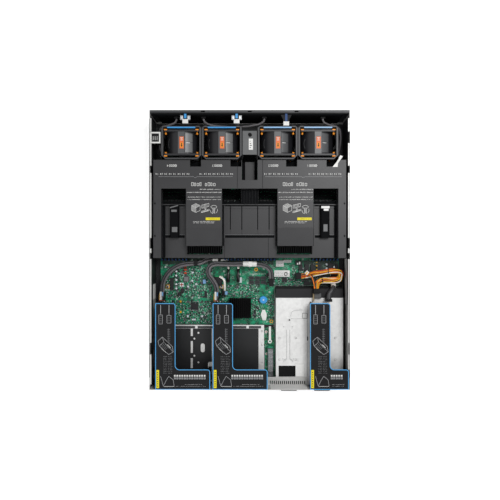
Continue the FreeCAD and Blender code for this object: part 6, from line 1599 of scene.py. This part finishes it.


# Supply cage: creases in its sheet and the edge beside the third riser, drawn as lines of painted shade,
# punched marks and a hole, and the lift of what is drawn on it
CAGE_LIFT = 0.05
CREASES = (((84.3, -183), (84.3, -250), (79, -256)), ((91.9, -183), (91.9, -250), (98, -256)),
           ((77, -257), (80, -250.6), (84, -250.2)), ((99, -257), (96, -250.6), (92, -250.2)),
           ((121, -137.6), (103, -138.4), (96, -143), (93.8, -152)), ((94.6, -158), (121, -157.6)),
           ((132.4, -128), (132.4, -200)), ((132.4, -212), (132.4, -288)))
CREASE_WIDTH = 0.7
PUNCH_MARKS = ((77.5, -176), (97.5, -176), (76, -250), (100, -250))
PUNCH_RADII = (0.6, 1.1)
CAGE_HOLE = (91.4, -160.6)
CAGE_HOLE_RADIUS = 1.7
# From the cage's left edge: a line of painted shade at the rear, and a black sheet of painted shade over the
# rear ledge's slots
CAGE_EDGE_GAP = 0.4
REAR_LINE = (130, -292, -291.4)
LEDGE_SHADE = (131, -308.6, -300.4)
LEDGE_SHADE_LIFT = 0.03
# From the cage's left rear corner: a dark block of painted shade beside the third riser, and a bright patch
CAGE_SHADE_BLOCK = (("closing_foam", 71.6, 73.6, 101, 110, 0, 0.8),)
CAGE_PATCH = (("white_sticker", 45, 64.5, 19, 47, 0, 0.06),)
# Sticker with a line of painted shade round it, then the third riser's plug with its strip of contacts
STICKER_FRAME = (120.8, 132.2, -157.2, -144.6)
STICKER_FRAME_LINE = 0.8
STICKER_FRAME_LIFT = 0.02
CAGE_STICKER = (("white_sticker", 122, 131, -156, -146, 0, 0.3),)
RISER_3_PLUG = (("slate_sticker", 148, 163, -111, -99.4, 0, 7),
                ("ceramic_tan", 144.4, 147, -117.4, -99.2, 0, 8))
# White sheet inside the rear wall, above the ledge, as painted light
REAR_LIGHT_X = (47, 129)
REAR_LIGHT_Z = (47, 85)
# Supply: window in its top, then from its right lower rear corner the inlet and its blades, then the lamp
WINDOW_GAPS = (3, 28)
WINDOW = (16, 48, 0, 0.3)
INLET = (("black_nylon", -28.4, -4.1, 14.5, 15.9, 4.1, 20.4), ("tin_plate", -17.2, -15.2, 3, 15, 6, 10),
         ("tin_plate", -10.2, -8.2, 3, 15, 12.6, 16.6), ("tin_plate", -24.2, -22.2, 3, 15, 12.6, 16.6))
LAMP = ((5, 0.2, 36), (5, -0.5, 36))
LAMP_RADIUS = 1.2


class SERVER_OT_power_trim(bpy.types.Operator):
    """Creases and details of the supply cage and the power supplies"""
    bl_idname = "server.power_trim"
    bl_label = "Power trim"

    def execute(self, context):
        for number in SUPPLIES:
            self.supply(number)
        self.cage()
        return {"FINISHED"}

    def cage(self):
        """Creases, marks and stickers of the cage, with painted shade along them and painted light inside the
        rear wall, and what stands on it.
        """
        x0, x1, y0, y1, z0, top = span("psu_cage")
        z = top + CAGE_LIFT
        form = Builder("crease_shade")
        # Lines of painted shade along the creases and beside the third riser, and rings round the punch marks
        for line in CREASES:
            form.line(line, CREASE_WIDTH, z)
        for x, y in PUNCH_MARKS:
            form.ring(x, y, z, *PUNCH_RADII, sides=12)
        form.sheet(x0 + CAGE_EDGE_GAP, *REAR_LINE, z)
        form.use("closing_foam").sheet(x0 + CAGE_EDGE_GAP, *LEDGE_SHADE, z + LEDGE_SHADE_LIFT)
        form.ring(*CAGE_HOLE, z, 0, CAGE_HOLE_RADIUS, sides=14)
        form.lay((x0, y0, top), CAGE_SHADE_BLOCK)
        form.frame(*STICKER_FRAME, STICKER_FRAME_LINE, z + STICKER_FRAME_LIFT)
        form.lay((0, 0, top), CAGE_STICKER)
        form.lay((x0, y0, top), CAGE_PATCH)
        form.lay((0, 0, top), RISER_3_PLUG)
        inside = span("rear_panel")[2] + SHEET
        # White sheet where light falls inside the rear wall: painted light
        form.use("white_sticker").block(*REAR_LIGHT_X, inside, inside + STRIP, *REAR_LIGHT_Z)
        form.done("cage_details", "chassis", "zinc_steel")

    def supply(self, number):
        """Dark top film, inlet blades and lamp of one supply."""
        x0, x1, y0, y1, z0, z1 = span("psu_%d_case" % number)
        window = (x0 + WINDOW_GAPS[0], x1 - WINDOW_GAPS[1], *WINDOW)
        form = Builder("smoked_window")
        form.block(*at((0, y0, z1), window))
        form.lay((x1, y0, z0), INLET)
        form.use("blue_acetal").rod(*[(x0 + x, y0 + y, z0 + z) for x, y, z in LAMP], LAMP_RADIUS, sides=12)
        form.done("psu_%d_details" % number, "psu_%d" % number, "black_plastic")


# Network card: left edges of its port cages, then a lid and its first slot from there and the card's rear
PORT_CAGES = (21.7, 41.7)
PORT_LID = (("ferrite_grey", 0.4, 14, 10, 80, 18.46),)
LID_SLOT = (("tin_plate", 1.6, 12.8, 12, 13, 18.5),)
LID_SLOTS = 22
LID_SLOT_PITCH = 3
# Top of the card's board, chips on it, and posts with their red cores: radius and height
CARD_TOP = 9.0
CARD_CHIPS = (("chip_epoxy", 2, 18, -250, -230, 0, 2), ("chip_epoxy", 22, 32, -205, -195, 0, 1.6))
CARD_POSTS = ((38.6, -193), (40, -245))
POST = (3, 2)
POST_CORE = (1.4, 2.3)
# Small parts on the card: area, spacing, smallest and largest size, and seed
CARD_AREA = (34, 58, -224, -186)
CARD_PARTS = (3.2, (0.8, 0.6, 0.5), (2.2, 1.4, 1.2), 29)
# Rear ports: first contact from their upper right rear corner, tongues from the lower left rear one
CONTACTS = 8
CONTACT_PITCH = 1.4
CONTACT = (("gold_plate", -13.4, -12.8, 8, 18, -2.0, -1.4),)
PORT_TONGUES = (("deep_blue_nylon", 1.2, 29.8, 14, 18.8, 5, 13), ("black_nylon", 37.4, 47.6, 4, 18.5, 7, 8.6),
                ("black_nylon", 37.4, 47.6, 4, 18.5, 13.4, 15.0))
# Painted shade on the shelf's lip: gaps at its ends, notches for the risers, gaps along Y and thickness
LIP_GAPS = (3, 7)
LIP_NOTCHES = ((-128, -122), (-8, -2))
LIP_REAR_GAP = 0.4
LIP_FRONT_GAP = 2.2
LIP_LIFT = 0.15


class SERVER_OT_rear_trim(bpy.types.Operator):
    """Contacts in the rear ports, the network card's parts and painted shade on the shelf lip"""
    bl_idname = "server.rear_trim"
    bl_label = "Rear trim"

    def execute(self, context):
        self.card()
        self.ports()
        self.lip()
        return {"FINISHED"}

    def card(self):
        """Slotted lids of the port cages, chips, posts and small parts of the network card."""
        rear = span("network_card")[2]
        form = Builder("ferrite_grey")
        for left in PORT_CAGES:
            form.lay((left, rear, 0), PORT_LID)
            for step in range(LID_SLOTS):
                form.lay((left, rear + LID_SLOT_PITCH * step, 0), LID_SLOT)
        form.lay((0, 0, CARD_TOP), CARD_CHIPS)
        for x, y in CARD_POSTS:
            shoulder, tip = [(x, y, CARD_TOP + height) for radius, height in (POST, POST_CORE)]
            form.use("white_nylon").rod((x, y, CARD_TOP), shoulder, POST[0])
            form.use("red_epoxy").rod(shoulder, tip, POST_CORE[0], sides=12)
        form.done("network_card_parts", "chassis", "circuit_board")
        strewn("network_card_small_parts", "chassis", "circuit_board", "ceramic_tan",
               [(*CARD_AREA, CARD_TOP)], *CARD_PARTS)

    def ports(self):
        """Gold contacts and plastic tongues inside the rear ports."""
        x0, x1, y0, y1, z0, z1 = span("rear_ports")
        form = Builder("gold_plate")
        for step in range(CONTACTS):
            form.lay((x1 + step * CONTACT_PITCH, y0, z1), CONTACT)
        form.lay((x0, y0, z0), PORT_TONGUES)
        form.done("port_contacts", "chassis", "port_steel")

    def lip(self):
        """Dark sheet on the shelf's front lip, between the risers' notches, as painted shade."""
        x0, x1, y0, y1, z0, z1 = span("io_shelf")
        rear = span("shelf_insulators")[3] + LIP_REAR_GAP
        (first, second), (third, fourth) = LIP_NOTCHES
        form = Builder("passivated_steel")
        for left, right in ((x0 + LIP_GAPS[0], first), (second, third), (fourth, x1 - LIP_GAPS[1])):
            form.block(left, right, rear, y1 - LIP_FRONT_GAP, z1, z1 + LIP_LIFT)
        form.done("shelf_lip_film", "chassis", "zinc_steel")


# Board screws: gap from the board's edges, middle row, heights of side and top, and the top's share
SCREW_GAP = 11
SCREW_ROW = -40
SCREW_HEIGHTS = (1.0, 1.6)
SCREW_TOP_SHARE = 0.7
# Pressed dimples: radii and height, places on the cage, and places on the shelf
DIMPLE_RADII = (2.6, 1.5)
DIMPLE_HEIGHT = 0.7
CAGE_DIMPLES = ((68, 106, 196.3), (-202, -252))
SHELF_DIMPLES = ((-206, -190), (-206, -240), (29, -190), (29, -222), (29, -262))


class SERVER_OT_screws(bpy.types.Operator):
    """Screws of the board and pressed dimples of the sheet metal"""
    bl_idname = "server.screws"
    bl_label = "Screws"

    def execute(self, context):
        radius = settings()[1].screw_radius / MM

        def screw(form):
            shoulder, crown = [(0, 0, height) for height in SCREW_HEIGHTS]
            form.rod((0, 0, 0), shoulder, radius, sides=18)
            form.rod(shoulder, crown, radius, sides=18, end_radius=radius * SCREW_TOP_SHARE)

        def dimple(form):
            form.rod((0, 0, 0), (0, 0, DIMPLE_HEIGHT), DIMPLE_RADII[0], sides=18, end_radius=DIMPLE_RADII[1])
        x0, x1, y0, y1, z0, top = span("motherboard")
        places = [(x, y, top) for x in (x0 + SCREW_GAP, x1 - SCREW_GAP) for y in (y1 - SCREW_GAP, SCREW_ROW)]
        places.append((x0 + SCREW_GAP, y0 + SCREW_GAP, top))
        repeated("board_screws", "chassis", "zinc_steel", "tin_plate", screw, places)
        cage = span("psu_cage")[5]
        shelf = span("io_shelf")[5]
        dimples = [(x, y, cage) for x in CAGE_DIMPLES[0] for y in CAGE_DIMPLES[1]]
        dimples += [(x, y, shelf) for x, y in SHELF_DIMPLES]
        repeated("cage_dimples", "chassis", "zinc_steel", "zinc_plated_steel", dimple, dimples)
        return {"FINISHED"}


# Stage: floor in millimetres with its grey and glow, world's level on the object, and lamps in metres
FLOOR_CORNERS = ((-6000, -6000, -0.4), (6000, -6000, -0.4), (6000, 6000, -0.4), (-6000, 6000, -0.4))
FLOOR_GREY = (0.9, 0.9, 0.9, 1)
FLOOR_GLOW = 0.62
WORLD_LEVEL = 0.14
WHITE = (1, 1, 1, 1)
# Name, place, size and power
LAMPS = (("key", (0.5, 0.5, 1.5), 0.5, 15.5), ("fill", (-1.0, -0.3, 1.3), 0.8, 4.6),
         ("rear", (0.1, -1.2, 1.3), 0.8, 5.4))
# Camera straight above: its place, and the width that its picture covers at the server's top
CAMERA_X = 0.6
CAMERA_HEIGHT = 1250
PICTURE_WIDTH = 1107
SENSOR_WIDTH = 36.0


class SERVER_OT_stage(bpy.types.Operator):
    """White floor, soft studio lights and the camera straight above"""
    bl_idname = "server.stage"
    bl_label = "Stage"

    def execute(self, context):
        context.scene.view_settings.view_transform = "Standard"
        self.floor()
        self.world()
        for lamp in LAMPS:
            self.lamp(*lamp)
        self.camera()
        return {"FINISHED"}

    def floor(self):
        """Matt white floor that takes the server's shadow."""
        tree = blank("floor_white")
        seen = self.seen(tree)
        diffuse = add(tree, "ShaderNodeBsdfDiffuse", {"Color": FLOOR_GREY}).outputs[0]
        glow = add(tree, "ShaderNodeEmission", {"Color": WHITE, "Strength": FLOOR_GLOW})
        both = add(tree, "ShaderNodeAddShader", {0: diffuse, 1: glow.outputs[0]})
        mixed = add(tree, "ShaderNodeMixShader", {0: seen, 1: diffuse, 2: both.outputs[0]})
        add(tree, "ShaderNodeOutputMaterial", {"Surface": mixed.outputs[0]})
        data = mesh_of(FLOOR_CORNERS, [(0, 1, 2, 3)])
        data.materials.append(MATERIALS["floor_white"])
        floor = bpy.data.objects.new("floor", data)
        bpy.context.scene.collection.objects.link(floor)

    def world(self):
        """White background with a low level of light on the object."""
        world = bpy.data.worlds.new("studio")
        world.use_nodes = True
        sky = world.node_tree
        sky.nodes.clear()
        level = add(sky, "ShaderNodeMapRange", {0: self.seen(sky), 3: WORLD_LEVEL, 4: 1.0})
        back = add(sky, "ShaderNodeBackground", {"Color": WHITE, "Strength": level.outputs[0]})
        add(sky, "ShaderNodeOutputWorld", {"Surface": back.outputs[0]})
        bpy.context.scene.world = world

    def seen(self, tree):
        """One for rays that show a surface: from the camera, by reflection or through glass."""
        ray = add(tree, "ShaderNodeLightPath").outputs
        some = add(tree, "ShaderNodeMath", {0: ray["Is Camera Ray"], 1: ray["Is Glossy Ray"]},
                   operation="ADD")
        shown = add(tree, "ShaderNodeMath", {0: some.outputs[0], 1: ray["Is Transmission Ray"]},
                    operation="ADD", use_clamp=True)
        return shown.outputs[0]

    def lamp(self, name, position, size, power):
        """Square area light aimed at the middle of the server."""
        light = bpy.data.lights.new(name, "AREA")
        light.size = size
        light.energy = power
        lamp = bpy.data.objects.new(name, light)
        lamp.location = position
        lamp.rotation_euler = (-Vector(position)).to_track_quat("-Z", "Y").to_euler()
        bpy.context.scene.collection.objects.link(lamp)

    def camera(self):
        """Camera that looks straight down."""
        camera = bpy.data.cameras.new("camera")
        camera.sensor_width = SENSOR_WIDTH
        camera.lens = SENSOR_WIDTH * (CAMERA_HEIGHT - CAD_HIGH[2] / MM) / PICTURE_WIDTH
        camera.clip_start = 0.01
        view = bpy.data.objects.new("camera", camera)
        view.location = (CAMERA_X * MM, 0, CAMERA_HEIGHT * MM)
        bpy.context.scene.collection.objects.link(view)
        bpy.context.scene.camera = view


OPERATORS = (SERVER_OT_finishes, SERVER_OT_wall_shade_films, SERVER_OT_fan_trim, SERVER_OT_front_trim,
             SERVER_OT_duct_print,
             SERVER_OT_riser_film, SERVER_OT_board_parts, SERVER_OT_cables, SERVER_OT_power_trim,
             SERVER_OT_rear_trim,
             SERVER_OT_screws, SERVER_OT_stage)


class SERVER_PT_panel(bpy.types.Panel):
    """Lists the steps and the settings"""
    bl_idname = "SERVER_PT_panel"
    bl_label = "Rack Server"
    bl_space_type = "VIEW_3D"
    bl_region_type = "UI"
    bl_category = "Rack Server"

    def draw(self, context):
        layout = self.layout
        for operator in OPERATORS:
            layout.operator(operator.bl_idname)
        for group in (context.scene.server_colours, context.scene.server_sizes):
            for name in group.__annotations__:
                layout.prop(group, name)


CLASSES = (ServerColours, ServerSizes) + OPERATORS + (SERVER_PT_panel,)


def register():
    """Register the classes and the settings."""
    for item in CLASSES:
        bpy.utils.register_class(item)
    bpy.types.Scene.server_colours = bpy.props.PointerProperty(type=ServerColours)
    bpy.types.Scene.server_sizes = bpy.props.PointerProperty(type=ServerSizes)


def unregister():
    """Remove the settings and the classes."""
    del bpy.types.Scene.server_sizes
    del bpy.types.Scene.server_colours
    for item in reversed(CLASSES):
        bpy.utils.unregister_class(item)


def main():
    """Build everything."""
    register()
    bpy.ops.server.finishes()
    bpy.ops.server.wall_films()
    bpy.ops.server.fan_trim()
    bpy.ops.server.front_trim()
    bpy.ops.server.duct_print()
    bpy.ops.server.riser_film()
    bpy.ops.server.board_parts()
    bpy.ops.server.cables()
    bpy.ops.server.power_trim()
    bpy.ops.server.rear_trim()
    bpy.ops.server.screws()
    bpy.ops.server.stage()


if __name__ == "__main__":
    main()
